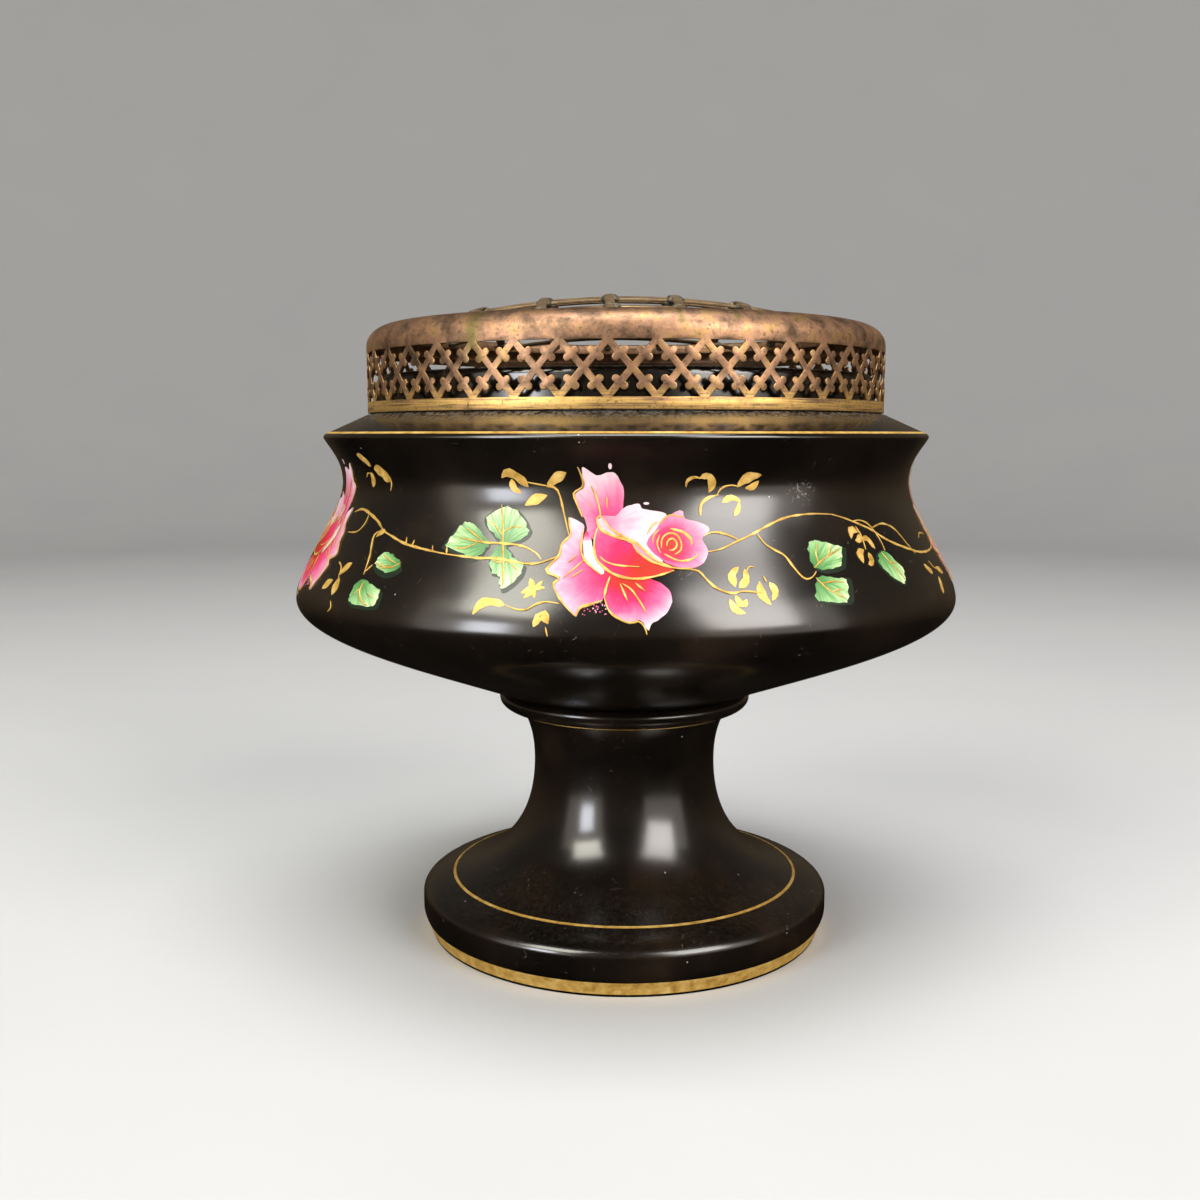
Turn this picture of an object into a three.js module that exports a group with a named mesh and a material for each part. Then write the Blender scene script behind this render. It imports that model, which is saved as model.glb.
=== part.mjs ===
import * as THREE from 'three';
import { mergeVertices } from 'three/addons/utils/BufferGeometryUtils.js';

// A footed posy bowl: a glazed earthenware bowl on a hollow pedestal foot, with a lift-off brass grille.
// Millimetres, +Z up, the axis of the pot on Z, the table at z = 0 and the front of the pot towards -Y.

// Driving dimensions

// Gap between touching pieces
const clearance = 0.3;

// Pedestal foot
const baseRadius = 49.8;
const footRadius = 52.0;
const rimLowHeight = 6.2;
const rimHighHeight = 9.5;
const footTopRadius = 44.0;
const footTopHeight = 14.1;
const stemRadius = 23.1;
const stemWaistHeight = 43.4;
const knopFootRadius = 25.6;
const knopFootHeight = 55.8;
const knopRadius = 31.9;
const knopHeight = 59.8;
const footHeight = 61.3;
const footSeatRadius = 28.6;
const footWall = 5.0;
const baseRingWidth = 4.5;

// Bowl
const bowlSeatRadius = 31.0;
const bellyRadius = 81.9;
const bellyHeight = 86.8;
const waistRadius = 69.8;
const waistHeight = 115.0;
const shoulderRadius = 74.1;
const shoulderHeight = 125.0;
const shoulderRound = 1.1;
const seatHeight = 130.7;
const neckHeight = 140.0;
const neckWall = 3.1;
const bowlWall = 4.5;
const floorThickness = 5.0;

// Brass collar: a pierced strip closed into a ring and pressed over at the top
const collarRadius = 63.5;
const brassGauge = 0.5;
const neckPlay = 2.2;
const lowerBandHeight = 2.6;
const openworkHeight = 11.5;
const collarWallHeight = 15.9;
const crownWidth = 6.2;
const crownHeight = 4.95;
const lipRadius = 1.4;
const lipDrop = 1.3;

// Openwork: crossed bars, each half bar with a pair of small knobs at its middle
const cellCount = 40;
const cellOffset = THREE.MathUtils.degToRad(-4.23);
const barWidth = 1.5;
const knobReach = 1.75;
const knobLength = 1.8;

// Wire dome soldered inside the collar's lip
const wireWidth = 2.2;
const wireThickness = 0.8;
const wireSpacing = 15.0;
const overWireShift = -4.0;
const domeRadius = 185.0;
const wireHang = 0.8;
const shortestWire = 30.0;

// Flats round the pot, and steps along a wire
const turns = 40;
const wireSteps = 10;

// Values worked out from the driving dimensions
const bowlBase = footHeight + clearance;
const neckRadius = collarRadius - brassGauge - neckPlay;
const collarBase = seatHeight + clearance;
const openworkBase = collarBase + lowerBandHeight;
const openworkTop = openworkBase + openworkHeight;
const collarWallTop = collarBase + collarWallHeight;
const crownRadius = collarRadius - crownWidth;
const crownTop = collarWallTop + crownHeight;
const lipInside = crownRadius - lipRadius;
const wireReach = lipInside - clearance;

// Directions in the plane of radius and height, in degrees from straight out
const UP = 90;
const DOWN = -90;

// A point of a profile: its radius from the axis and its height
const point = (radius, height) => new THREE.Vector2(radius, height);

function away(from, direction, distance) {
  const angle = THREE.MathUtils.degToRad(direction);
  return point(from.x + Math.cos(angle) * distance, from.y + Math.sin(angle) * distance);
}

// A smooth line that leaves each of its ends in the direction given there, the longer the pull the fuller
function sweep([start, startDirection, startPull], [end, endDirection, endPull], steps) {
  const startHandle = away(start, startDirection, startPull);
  const endHandle = away(end, endDirection, endPull);
  return new THREE.CubicBezierCurve(start, startHandle, endHandle, end).getPoints(steps);
}

// Joins lines end to end and leaves out the points that two of them share
function outline(...lines) {
  const joined = [];
  for (const next of lines.flat()) {
    const last = joined[joined.length - 1];
    if (!last || last.distanceTo(next) > 1e-6) joined.push(next);
  }
  return joined;
}

function namedMesh(name, geometry, material) {
  const mesh = new THREE.Mesh(geometry, material);
  mesh.name = name;
  return mesh;
}

const glaze = new THREE.MeshStandardMaterial({ color: 0x17110e, roughness: 0.16, metalness: 0 });
const agedBrass = new THREE.MeshStandardMaterial({ color: 0xa9765a, roughness: 0.42, metalness: 1 });
const wireBrass = new THREE.MeshStandardMaterial({ color: 0x9c7b52, roughness: 0.5, metalness: 1 });

// Pedestal foot: thrown hollow, open below, with a wide rim, a waisted stem and a knop under the bowl
function footGeometry() {
  const base = point(baseRadius, 0);
  const rimLow = point(footRadius, rimLowHeight);
  const rimHigh = point(footRadius, rimHighHeight);
  const top = point(footTopRadius, footTopHeight);
  const stemWaist = point(stemRadius, stemWaistHeight);
  const knopFoot = point(knopFootRadius, knopFootHeight);
  const knop = point(knopRadius, knopHeight);
  const seat = point(footSeatRadius, footHeight);
  const outside = outline(
    sweep([base, 75, 3.2], [rimLow, DOWN, 1.8], 3),
    sweep([rimHigh, UP, 2], [top, -14, 6.2], 4),
    sweep([top, 158, 6], [stemWaist, DOWN, 22.5], 8),
    sweep([stemWaist, UP, 7], [knopFoot, -117, 2.2], 3),
    sweep([knopFoot, 10, 4.4], [knop, DOWN, 1.8], 4),
    sweep([knop, UP, 0.8], [seat, 0, 2.3], 2),
  );
  const hollowRadius = baseRadius - baseRingWidth;
  const hollowTop = point(stemRadius - footWall, footHeight);
  const hollowRim = point(hollowRadius, footTopHeight - footWall);
  const inside = sweep([hollowTop, DOWN, 42], [hollowRim, 166, 10], 8);
  const profile = outline(outside, inside, [point(hollowRadius, 0), base]);
  return new THREE.LatheGeometry(profile, turns).rotateX(Math.PI / 2);
}

// Bowl: an even wall from the floor round the belly, in to the waist, out to the shoulder and up the neck
function bowlGeometry() {
  const seat = point(bowlSeatRadius, bowlBase);
  const belly = point(bellyRadius, bellyHeight);
  const waist = point(waistRadius, waistHeight);
  const shoulder = point(shoulderRadius, shoulderHeight);
  const neckBend = point(collarRadius - brassGauge - clearance, seatHeight);
  const neckFoot = point(neckRadius, seatHeight + 2.5);
  const outside = outline(
    [point(0, bowlBase)],
    sweep([seat, 20.5, 32.6], [belly, DOWN, 8.1], 7),
    sweep([belly, UP, 7.2], [waist, DOWN, 8.9], 6),
    sweep([waist, UP, 4.8], [shoulder, -117, 2.2], 3),
    [point(shoulderRadius - shoulderRound / 2, shoulderHeight + shoulderRound)],
    [point(collarRadius, seatHeight)],
    sweep([neckBend, 170, 1.2], [neckFoot, DOWN, 1.4], 2),
  );

  // The top of the neck is a half round as wide as its wall
  const lipCentre = point(neckRadius - neckWall / 2, neckHeight - neckWall / 2);
  const lip = [0, 45, 90, 135, 180].map((direction) => away(lipCentre, direction, neckWall / 2));

  const neckInside = point(neckRadius - neckWall, seatHeight - 1);
  const shoulderInside = point(shoulderRadius - 1.5 * bowlWall, shoulderHeight - 1);
  const waistInside = point(waistRadius - bowlWall, waistHeight);
  const bellyInside = point(bellyRadius - bowlWall, bellyHeight);
  const floorEdge = point(bowlSeatRadius - bowlWall, bowlBase + floorThickness);
  const inside = outline(
    sweep([neckInside, DOWN, 2.5], [shoulderInside, 155, 6], 2),
    sweep([shoulderInside, -20, 3.2], [waistInside, UP, 4.5], 3),
    sweep([waistInside, DOWN, 8.9], [bellyInside, UP, 7], 4),
    sweep([bellyInside, DOWN, 6], [floorEdge, 18, 30], 5),
    [point(0, floorEdge.y)],
  );
  return new THREE.LatheGeometry(outline(outside, lip, inside), turns).rotateX(Math.PI / 2);
}

// Where a point of the brass strip lies: its place round the collar, its distance along the strip's
// section, and its depth under the outer face. The section runs up the wall, over the crown
// and down inside the lip, and each of those bends counts as one step past the wall's top.
function collarPoint(angle, along, depth) {
  let radius = collarRadius;
  let height = Math.min(along, collarWallTop);
  let facing = point(1, 0);
  const bend = along - collarWallTop;
  if (bend > 0 && bend <= 1) {
    const lean = (bend * Math.PI) / 2;
    radius = crownRadius + crownWidth * Math.cos(lean);
    height = collarWallTop + crownHeight * Math.sin(lean);
    facing = point(Math.cos(lean) / crownWidth, Math.sin(lean) / crownHeight).normalize();
  } else if (bend > 1) {
    const lean = (Math.min(bend, 2) * Math.PI) / 2;
    const down = Math.max(bend - 2, 0) * lipDrop;
    radius = crownRadius + lipRadius * Math.cos(lean);
    height = crownTop + lipRadius * (Math.sin(lean) - 1) - down;
    facing = point(Math.cos(lean), Math.sin(lean));
  }
  const out = radius - facing.x * depth;
  return new THREE.Vector3(out * Math.sin(angle), -out * Math.cos(angle), height - facing.y * depth);
}

// Closes a pattern of flat outlines into a sheet of even thickness: two faces and a wall along each free edge
function sheetGeometry(outlines, thickness, place) {
  const corners = [];
  const known = new Map();
  const cornerIndex = ([angle, along]) => {
    const key = place(angle, along, 0).toArray().map((value) => Math.round(value * 1e3)).join(' ');
    if (!known.has(key)) {
      known.set(key, corners.length);
      corners.push([angle, along]);
    }
    return known.get(key);
  };
  const faces = [];
  for (const shape of outlines) {
    const flat = shape.map(([angle, along]) => point(angle * collarRadius, along));
    const indices = shape.map(cornerIndex);
    for (const triangle of THREE.ShapeUtils.triangulateShape(flat, [])) {
      faces.push(triangle.map((corner) => indices[corner]));
    }
  }
  const edges = new Set(faces.flatMap(([a, b, c]) => [`${a} ${b}`, `${b} ${c}`, `${c} ${a}`]));
  const back = corners.length;
  const index = [];
  for (const [a, b, c] of faces) {
    index.push(a, b, c, c + back, b + back, a + back);
    for (const [from, to] of [[a, b], [b, c], [c, a]]) {
      if (!edges.has(`${to} ${from}`)) index.push(to, from, from + back, to, from + back, to + back);
    }
  }
  const positions = [0, thickness].flatMap((depth) =>
    corners.flatMap(([angle, along]) => place(angle, along, depth).toArray()));
  const geometry = new THREE.BufferGeometry();
  geometry.setAttribute('position', new THREE.Float32BufferAttribute(positions, 3));
  geometry.setIndex(index);
  return geometry;
}

// One quarter of a crossed pair of bars, from the middle of the crossing out to the band: how far each corner
// lies round the collar and up it from the crossing
function quarterBar(halfCell, halfHeight) {
  const length = Math.hypot(halfCell, halfHeight);
  const run = halfCell / length;
  const climb = halfHeight / length;
  const beside = (along, side) => [along * run + side * climb, along * climb - side * run];
  const knob = (side) => [
    beside((length - knobLength) / 2, (side * barWidth) / 2),
    beside(length / 2, side * knobReach),
    beside((length + knobLength) / 2, (side * barWidth) / 2),
  ];
  const barAcross = barWidth / 2 / climb;
  const barUp = barWidth / 2 / run;
  return {
    barAcross,
    corners: [
      [0, 0], [barAcross, 0], ...knob(1), [halfCell, halfHeight - barUp],
      [halfCell, halfHeight], [halfCell - barAcross, halfHeight], ...knob(-1).reverse(), [0, barUp],
    ],
  };
}

// Brass collar: lower band, openwork, upper band, crown and turned-down lip in one strip
function collarGeometry() {
  const cellAngle = (2 * Math.PI) / cellCount;
  const halfHeight = openworkHeight / 2;
  const middle = openworkBase + halfHeight;
  const { barAcross, corners } = quarterBar((cellAngle * collarRadius) / 2, halfHeight);
  const barAngle = barAcross / collarRadius;
  const bends = [0, 1 / 4, 1 / 2, 3 / 4, 1, 3 / 2, 2, 3];
  const outlines = [];
  for (let cell = 0; cell < cellCount; cell += 1) {
    const left = cellOffset + cell * cellAngle;
    const right = left + cellAngle;
    const crossing = left + cellAngle / 2;
    for (const [side, rise] of [[1, 1], [-1, 1], [-1, -1], [1, -1]]) {
      const onCollar = ([across, up]) => [crossing + (side * across) / collarRadius, middle + rise * up];
      outlines.push(corners.map(onCollar));
    }
    outlines.push([
      [left, collarBase], [right, collarBase], [right, openworkBase],
      [right - barAngle, openworkBase], [left + barAngle, openworkBase], [left, openworkBase],
    ]);
    outlines.push([
      [left, openworkTop], [left + barAngle, openworkTop], [right - barAngle, openworkTop],
      [right, openworkTop], [right, collarWallTop], [left, collarWallTop],
    ]);
    for (let row = 0; row + 1 < bends.length; row += 1) {
      const low = collarWallTop + bends[row];
      const high = collarWallTop + bends[row + 1];
      outlines.push([[left, low], [right, low], [right, high], [left, high]]);
    }
  }
  return sheetGeometry(outlines, brassGauge, collarPoint);
}

// Wire dome: each flattened wire is a strip of one thin spherical shell, cut off where it meets the lip.
// The cross wires run left to right, and the over wires lie on them from front to back.
const wireTop = crownTop - wireHang;
const overWireOuter = domeRadius;
const crossWireOuter = overWireOuter - wireThickness - clearance;
const domeCentre = wireTop - Math.sqrt(domeRadius ** 2 - wireReach ** 2);

function wireGeometry(offset, shellOuter, frontToBack) {
  const wire = new THREE.BoxGeometry(2, wireWidth, wireThickness, wireSteps, 1, 1);
  const corners = wire.getAttribute('position');
  for (let corner = 0; corner < corners.count; corner += 1) {
    const across = offset + corners.getY(corner);
    const along = corners.getX(corner) * Math.sqrt(wireReach ** 2 - across ** 2);
    const shell = shellOuter - wireThickness / 2 + corners.getZ(corner);
    const height = domeCentre + Math.sqrt(shell ** 2 - across ** 2 - along ** 2);
    corners.setXYZ(corner, along, across, height);
  }
  if (frontToBack) wire.rotateZ(-Math.PI / 2);
  wire.deleteAttribute('normal');
  wire.deleteAttribute('uv');
  return mergeVertices(wire);
}

// Offsets of one set of wires that cross the mouth at an even spacing, from one side to the other
function wireOffsets(shift) {
  const widest = Math.sqrt(wireReach ** 2 - (shortestWire / 2) ** 2) - wireWidth / 2;
  const offsets = [];
  const first = Math.ceil((-widest - shift) / wireSpacing);
  for (let step = first; shift + step * wireSpacing <= widest; step += 1) {
    offsets.push(shift + step * wireSpacing);
  }
  return offsets;
}

const posyBowl = new THREE.Group();
posyBowl.add(namedMesh('pedestal_foot', footGeometry(), glaze));
posyBowl.add(namedMesh('bowl', bowlGeometry(), glaze));

const grille = new THREE.Group();
grille.add(namedMesh('pierced_collar', collarGeometry(), agedBrass));
wireOffsets(0).forEach((offset, order) => {
  grille.add(namedMesh(`cross_wire_${order + 1}`, wireGeometry(offset, crossWireOuter, false), wireBrass));
});
wireOffsets(overWireShift).forEach((offset, order) => {
  grille.add(namedMesh(`over_wire_${order + 1}`, wireGeometry(offset, overWireOuter, true), wireBrass));
});
posyBowl.add(grille);

export default posyBowl;
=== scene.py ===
import math
import random

import bpy
import numpy
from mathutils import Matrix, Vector


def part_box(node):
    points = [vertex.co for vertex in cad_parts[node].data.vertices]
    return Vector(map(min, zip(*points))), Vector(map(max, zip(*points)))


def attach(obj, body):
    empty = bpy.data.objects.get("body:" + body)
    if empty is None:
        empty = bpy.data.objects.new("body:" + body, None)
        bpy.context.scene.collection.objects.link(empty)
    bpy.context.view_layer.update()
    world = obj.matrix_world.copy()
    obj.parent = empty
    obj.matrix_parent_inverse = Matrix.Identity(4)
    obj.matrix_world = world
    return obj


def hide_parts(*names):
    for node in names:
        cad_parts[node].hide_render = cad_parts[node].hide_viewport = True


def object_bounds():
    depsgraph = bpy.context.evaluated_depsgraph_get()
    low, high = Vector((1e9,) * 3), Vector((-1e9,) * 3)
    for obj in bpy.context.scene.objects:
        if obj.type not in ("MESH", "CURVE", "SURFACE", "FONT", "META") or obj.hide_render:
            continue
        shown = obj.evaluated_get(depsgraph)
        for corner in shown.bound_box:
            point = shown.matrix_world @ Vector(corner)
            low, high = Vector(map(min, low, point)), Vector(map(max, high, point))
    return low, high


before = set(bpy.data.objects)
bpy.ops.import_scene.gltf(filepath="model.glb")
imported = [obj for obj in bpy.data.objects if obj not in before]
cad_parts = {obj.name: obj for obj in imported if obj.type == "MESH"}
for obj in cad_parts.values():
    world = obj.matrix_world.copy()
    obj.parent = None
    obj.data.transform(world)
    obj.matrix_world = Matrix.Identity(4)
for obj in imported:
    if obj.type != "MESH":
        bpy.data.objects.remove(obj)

solid_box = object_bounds()

# Camera: the pot stands a little right of the middle of the picture and is seen from the front,
# from about the height of its shoulder and looking slightly down.
camera_place = (-0.00624, -0.3294, 0.1259)
looking_down = math.radians(7.25)
bpy.ops.object.camera_add(location=camera_place, rotation=(math.pi / 2 - looking_down, 0, 0))
camera = bpy.context.object
camera.name = "camera"
camera.data.sensor_width = 36
camera.data.lens = 39
camera.data.clip_start = 0.01
bpy.context.scene.camera = camera
bpy.context.scene.view_settings.view_transform = "Standard"


# Floor: a wide round of pale grey board that runs level under the pot and curves up all round it, matt,
# so that it shows no edge. The glaze mirrors the dim room instead of it, which keeps its black deep.
floor_reach = 2.0
floor_rise = 1.3
floor_curve = 0.8
curve_steps = 20


def begun(add_shape, **settings):
    """A basic shape that a piece starts from, added with nothing else selected"""
    bpy.ops.object.select_all(action="DESELECT")
    add_shape(**settings)
    return bpy.context.object


def on_all(operator, **settings):
    """Runs a mesh operator on the whole of the active piece"""
    bpy.ops.object.mode_set(mode="EDIT")
    bpy.ops.mesh.select_all(action="SELECT")
    operator(**settings)
    bpy.ops.object.mode_set(mode="OBJECT")


def on_edges(piece, wanted, operator, **settings):
    """Runs a mesh operator on the edges of the active piece whose two ends are as wanted"""
    bpy.ops.object.mode_set(mode="EDIT")
    bpy.ops.mesh.select_mode(type="EDGE")
    bpy.ops.mesh.select_all(action="DESELECT")
    bpy.ops.object.mode_set(mode="OBJECT")
    for edge in piece.data.edges:
        edge.select = wanted(*(piece.data.vertices[end] for end in edge.vertices))
    bpy.ops.object.mode_set(mode="EDIT")
    operator(**settings)
    bpy.ops.object.mode_set(mode="OBJECT")


floor = begun(bpy.ops.mesh.primitive_circle_add, vertices=96, radius=floor_reach, fill_type="NGON")
floor.name = "floor"
on_edges(floor, lambda a, b: True, bpy.ops.mesh.extrude_edges_move,
         TRANSFORM_OT_translate={"value": (0, 0, floor_rise)})
on_edges(floor, lambda a, b: max(a.co.z, b.co.z) < floor_rise / 2, bpy.ops.mesh.bevel,
         offset=floor_curve, segments=curve_steps, affect="EDGES")
on_all(bpy.ops.mesh.normals_make_consistent, inside=True)
bpy.ops.object.shade_smooth()


def tint(code):
    """An sRGB hex colour as the linear values that a shader takes"""
    shares = [int(code[place:place + 2], 16) / 255 for place in (1, 3, 5)]
    return [s / 12.92 if s <= 0.04045 else ((s + 0.055) / 1.055) ** 2.4 for s in shares] + [1.0]


def feed(node, inputs):
    """Sets inputs to values or colours, or links them to a socket or to a node's first output in use"""
    for name, value in inputs.items():
        if isinstance(value, bpy.types.Node):
            value = next(socket for socket in value.outputs if socket.enabled)
        if isinstance(value, bpy.types.NodeSocket):
            node.id_data.links.new(value, node.inputs[name])
        else:
            node.inputs[name].default_value = tint(value) if isinstance(value, str) else value


def add(tree, kind, inputs=(), stops=(), **settings):
    """Adds one node: what sets or feeds its inputs, the colours or greys along its ramp, and its settings"""
    made = tree.nodes.new("ShaderNode" + kind)
    for name, value in settings.items():
        setattr(made, name, value)
    feed(made, dict(inputs))
    for order, (place, colour) in enumerate(stops):
        ramp = made.color_ramp
        element = ramp.elements[order] if order < 2 else ramp.elements.new(place)
        element.position = place
        element.color = tint(colour) if isinstance(colour, str) else (colour, colour, colour, 1)
    return made


def painted(name):
    """A new material with its node tree, its shader and the place on the object that its patterns follow"""
    material = bpy.data.materials.new(name)
    material.use_nodes = True
    tree = material.node_tree
    tree.nodes.clear()
    shader = add(tree, "BsdfPrincipled")
    add(tree, "OutputMaterial", {"Surface": shader}, target="ALL")
    return material, tree, shader, add(tree, "TexCoord").outputs["Object"]


# Matt backdrop board: even pale grey with the faintest mottling
board, tree, shader, place = painted("matt_backdrop_board")
mottles_per_metre = 9
mottle = add(tree, "TexNoise", {"Vector": place, "Scale": mottles_per_metre, "Detail": 6})
grey = add(tree, "ValToRGB", {"Fac": mottle}, [(0.3, "#c6c7c9"), (0.7, "#c9cacb")])
feed(shader, {"Base Color": grey, "Roughness": 0.9, "Specular IOR Level": 0.2})
floor.data.materials.append(board)
floor.visible_glossy = False


# Light: a plain soft studio. A tall soft box stands high at the right, a low narrow one and a high wide
# one at the left, and a broad one hangs overhead. Beyond them a large white card at each side gives their
# reflections a soft surround. The dim room is darkest below, like a dark table.
def soft_box(name, place, target, width, height, power, colour):
    bpy.ops.object.light_add(type="AREA", location=place)
    light = bpy.context.object
    light.name = name
    light.data.shape = "RECTANGLE"
    light.data.size = width
    light.data.size_y = height
    light.data.energy = power
    light.data.color = tint(colour)[:3]
    light.rotation_euler = (Vector(target) - Vector(place)).to_track_quat("-Z", "Y").to_euler()


soft_box("right_soft_box", (0.75, -0.85, 0.75), (0, 0, 0.1), 0.68, 0.9, 13, "#fffaf5")
soft_box("low_left_soft_box", (-0.8, -0.8, 0.26), (0, 0, 0.1), 0.3, 0.4, 3.5, "#f1f5ff")
soft_box("high_left_soft_box", (-0.75, -0.75, 1.0), (0, 0, 0.1), 0.65, 0.6, 9, "#fffcee")
soft_box("top_soft_box", (0.0, -0.15, 1.3), (0, 0, 0.05), 0.9, 0.6, 12, "#ffffff")
soft_box("right_white_card", (1.15, -1.05, 0.5), (0, 0, 0.1), 1.5, 1.2, 5.5, "#fff6ea")
soft_box("left_white_card", (-1.15, -1.0, 0.5), (0, 0, 0.1), 1.3, 1.2, 4.5, "#fff6e2")
world = bpy.data.worlds.new("dim_room")
bpy.context.scene.world = world
world.use_nodes = True
tree = world.node_tree
heading = add(tree, "SeparateXYZ", {"Vector": add(tree, "TexCoord").outputs["Generated"]})
rise = add(tree, "MapRange", {"Value": heading.outputs["Z"], "From Min": -0.3, "From Max": 0.7})
walls = add(tree, "ValToRGB", {"Fac": rise}, [
    (0.0, "#2e2a26"), (0.27, "#86725a"), (0.45, "#b3a084"), (0.7, "#8d877d"), (1.0, "#66625d")])
feed(tree.nodes["Background"], {"Color": walls, "Strength": 0.3})


# Pedestal foot: thrown hollow in earthenware and glazed brown-black all over, with a wide rim,
# a waisted stem and a knop that the bowl is luted on to.
mm = 0.001
UP = 90
DOWN = -90


def away(start, direction, distance):
    angle = math.radians(direction)
    return (start[0] + math.cos(angle) * distance, start[1] + math.sin(angle) * distance)


def sweep(start, end, steps):
    """A smooth line between two ends, each a point, the direction it leaves in and how far it pulls"""
    (a, direction_a, pull_a), (d, direction_d, pull_d) = start, end
    b = away(a, direction_a, pull_a)
    c = away(d, direction_d, pull_d)
    line = []
    for step in range(steps + 1):
        t = step / steps
        shares = ((1 - t) ** 3, 3 * t * (1 - t) ** 2, 3 * t * t * (1 - t), t ** 3)
        line.append(tuple(sum(s * p[axis] for s, p in zip(shares, (a, b, c, d))) for axis in (0, 1)))
    return line


def joined(*lines):
    """Lines end to end, without the points that two of them share"""
    points = []
    for line in lines:
        for point in line:
            if not points or math.dist(points[-1], point) > 1e-5:
                points.append(point)
    return points


def turned(name, outline, closed, flats=192, smooth_to=35):
    """A shape turned on the wheel: a ring of points is moved to the outline and spun round the axis"""
    piece = begun(bpy.ops.mesh.primitive_circle_add, vertices=len(outline), fill_type="NOTHING")
    piece.name = name
    for vertex, (radius, height) in zip(piece.data.vertices, outline):
        vertex.co = (radius * mm, 0, height * mm)
    if not closed:
        ends = {0, len(outline) - 1}
        on_edges(piece, lambda a, b: {a.index, b.index} == ends, bpy.ops.mesh.delete, type="EDGE")
    on_all(bpy.ops.mesh.spin, steps=flats, angle=2 * math.pi, center=(0, 0, 0), axis=(0, 0, 1))
    on_all(bpy.ops.mesh.remove_doubles, threshold=1e-6)
    on_all(bpy.ops.mesh.normals_make_consistent, inside=False)
    bpy.ops.object.shade_smooth_by_angle(angle=math.radians(smooth_to))
    return piece


base = (49.8, 0.0)
rim_low = (52.0, 6.2)
rim_high = (52.0, 9.5)
foot_top = (44.0, 14.1)
stem_waist = (23.1, 43.4)
knop_foot = (26.0, 56.2)
knop = (31.9, 59.8)
foot_seat = (28.6, 61.3)
hollow_top = (18.1, 61.3)
hollow_rim = (45.3, 9.1)
base_ring_inside = (45.3, 0.0)
knop_underside = ((knop_foot, 6, 4.0), (knop, DOWN, 1.8))
foot_outside = joined(
    sweep((base, 75, 3.2), (rim_low, DOWN, 1.8), 10),
    sweep((rim_high, UP, 2), (foot_top, -14, 6.2), 20),
    sweep((foot_top, 158, 6), (stem_waist, DOWN, 22.5), 36),
    sweep((stem_waist, UP, 7), (knop_foot, -117, 2.2), 16),
    sweep(*knop_underside, 18),
    sweep((knop, UP, 0.8), (foot_seat, 0, 2.3), 6),
)
foot_inside = sweep((hollow_top, DOWN, 42), (hollow_rim, 166, 10), 24)
foot = turned("glazed_foot", joined(foot_outside, foot_inside, [base_ring_inside]), closed=True)


def angle_from_front(tree, where):
    """How far round the pot a place lies from its front, from the place's parts"""
    forward = add(tree, "Math", {0: where.outputs["Y"], 1: -1}, operation="MULTIPLY")
    return add(tree, "Math", {0: where.outputs["X"], 1: forward}, operation="ARCTAN2")


# Glazed earthenware: a thick brown-black lead glaze over red clay. It gives a deep, almost black gloss
# that turns warm where it thins, soft-edged reflections, pinholes, hairline scratches, a scuffed spot at the
# right of the front, and dust round the collar's foot.
glaze, tree, shader, place = painted("brown_black_glaze")
pooling_size = 26 * mm
ripple_size = 2.4 * mm
grain_size = 0.22 * mm
pinhole_spacing = 4.8 * mm
dust_size = 1.1 * mm
thickest_dust = 0.75
hair_spacing = 11 * mm
scuff_grain_size = 0.7 * mm
ledge_low = 128.2 * mm
ledge_high = 130.6 * mm
# Distances round the wall are measured at this radius
unrolled = 70.0
scuff_aside = 37.0
scuff_half_width = 4.5
scuff_low = 114 * mm
scuff_high = 117 * mm
pooling = add(tree, "TexNoise", {"Vector": place, "Scale": 1 / pooling_size, "Detail": 3, "Roughness": 0.55})
body = add(tree, "ValToRGB", {"Fac": pooling}, [(0.36, "#0a0705"), (0.55, "#150f09"), (0.74, "#281c11")])
specks = add(tree, "TexVoronoi", {"Vector": place, "Scale": 1 / pinhole_spacing})
speck_dot = add(tree, "ValToRGB", {"Fac": specks}, [(0.022, 1.0), (0.045, 0.0)])
speck_pick = add(tree, "SeparateColor", {"Color": specks.outputs["Color"]})
speck_few = add(tree, "Math", {0: speck_pick, 1: 0.78}, operation="GREATER_THAN")
speck = add(tree, "Math", {0: speck_dot, 1: speck_few}, operation="MULTIPLY")
faces = add(tree, "SeparateXYZ", {"Vector": add(tree, "NewGeometry").outputs["Normal"]})
level = add(tree, "MapRange", {"Value": faces.outputs["Z"], "From Min": 0.72, "From Max": 0.95})
where = add(tree, "SeparateXYZ", {"Vector": place})
ledge = add(tree, "MapRange", {
    "Value": where.outputs["Z"], "From Min": ledge_low, "From Max": ledge_high,
    "To Min": 0.08, "To Max": 0.8})
dust_spots = add(tree, "TexNoise", {"Vector": place, "Scale": 1 / dust_size, "Detail": 5, "Roughness": 0.7})
dust_patch = add(tree, "ValToRGB", {"Fac": dust_spots}, [(0.42, 0.06), (0.68, 1.0)])
dust = level
for factor in (ledge, dust_patch, thickest_dust):
    dust = add(tree, "Math", {0: dust, 1: factor}, operation="MULTIPLY")
hair_bend = add(tree, "TexNoise", {
    "Vector": place, "Scale": 1 / hair_spacing, "Detail": 1, "Distortion": 1.2})
hair_side = add(tree, "Math", {0: hair_bend, 1: 0.5}, operation="SUBTRACT")
hair_near = add(tree, "Math", {0: hair_side}, operation="ABSOLUTE")
hair_line = add(tree, "MapRange", {"Value": hair_near, "From Min": 0.0035, "From Max": 0.001})
hair_few = add(tree, "ValToRGB", {"Fac": dust_spots}, [(0.56, 0.0), (0.62, 0.4)])
hair = add(tree, "Math", {0: hair_line, 1: hair_few}, operation="MULTIPLY")
scuff_turn = add(tree, "Math", {
    0: angle_from_front(tree, where), 1: scuff_aside / unrolled}, operation="SUBTRACT")
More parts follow.
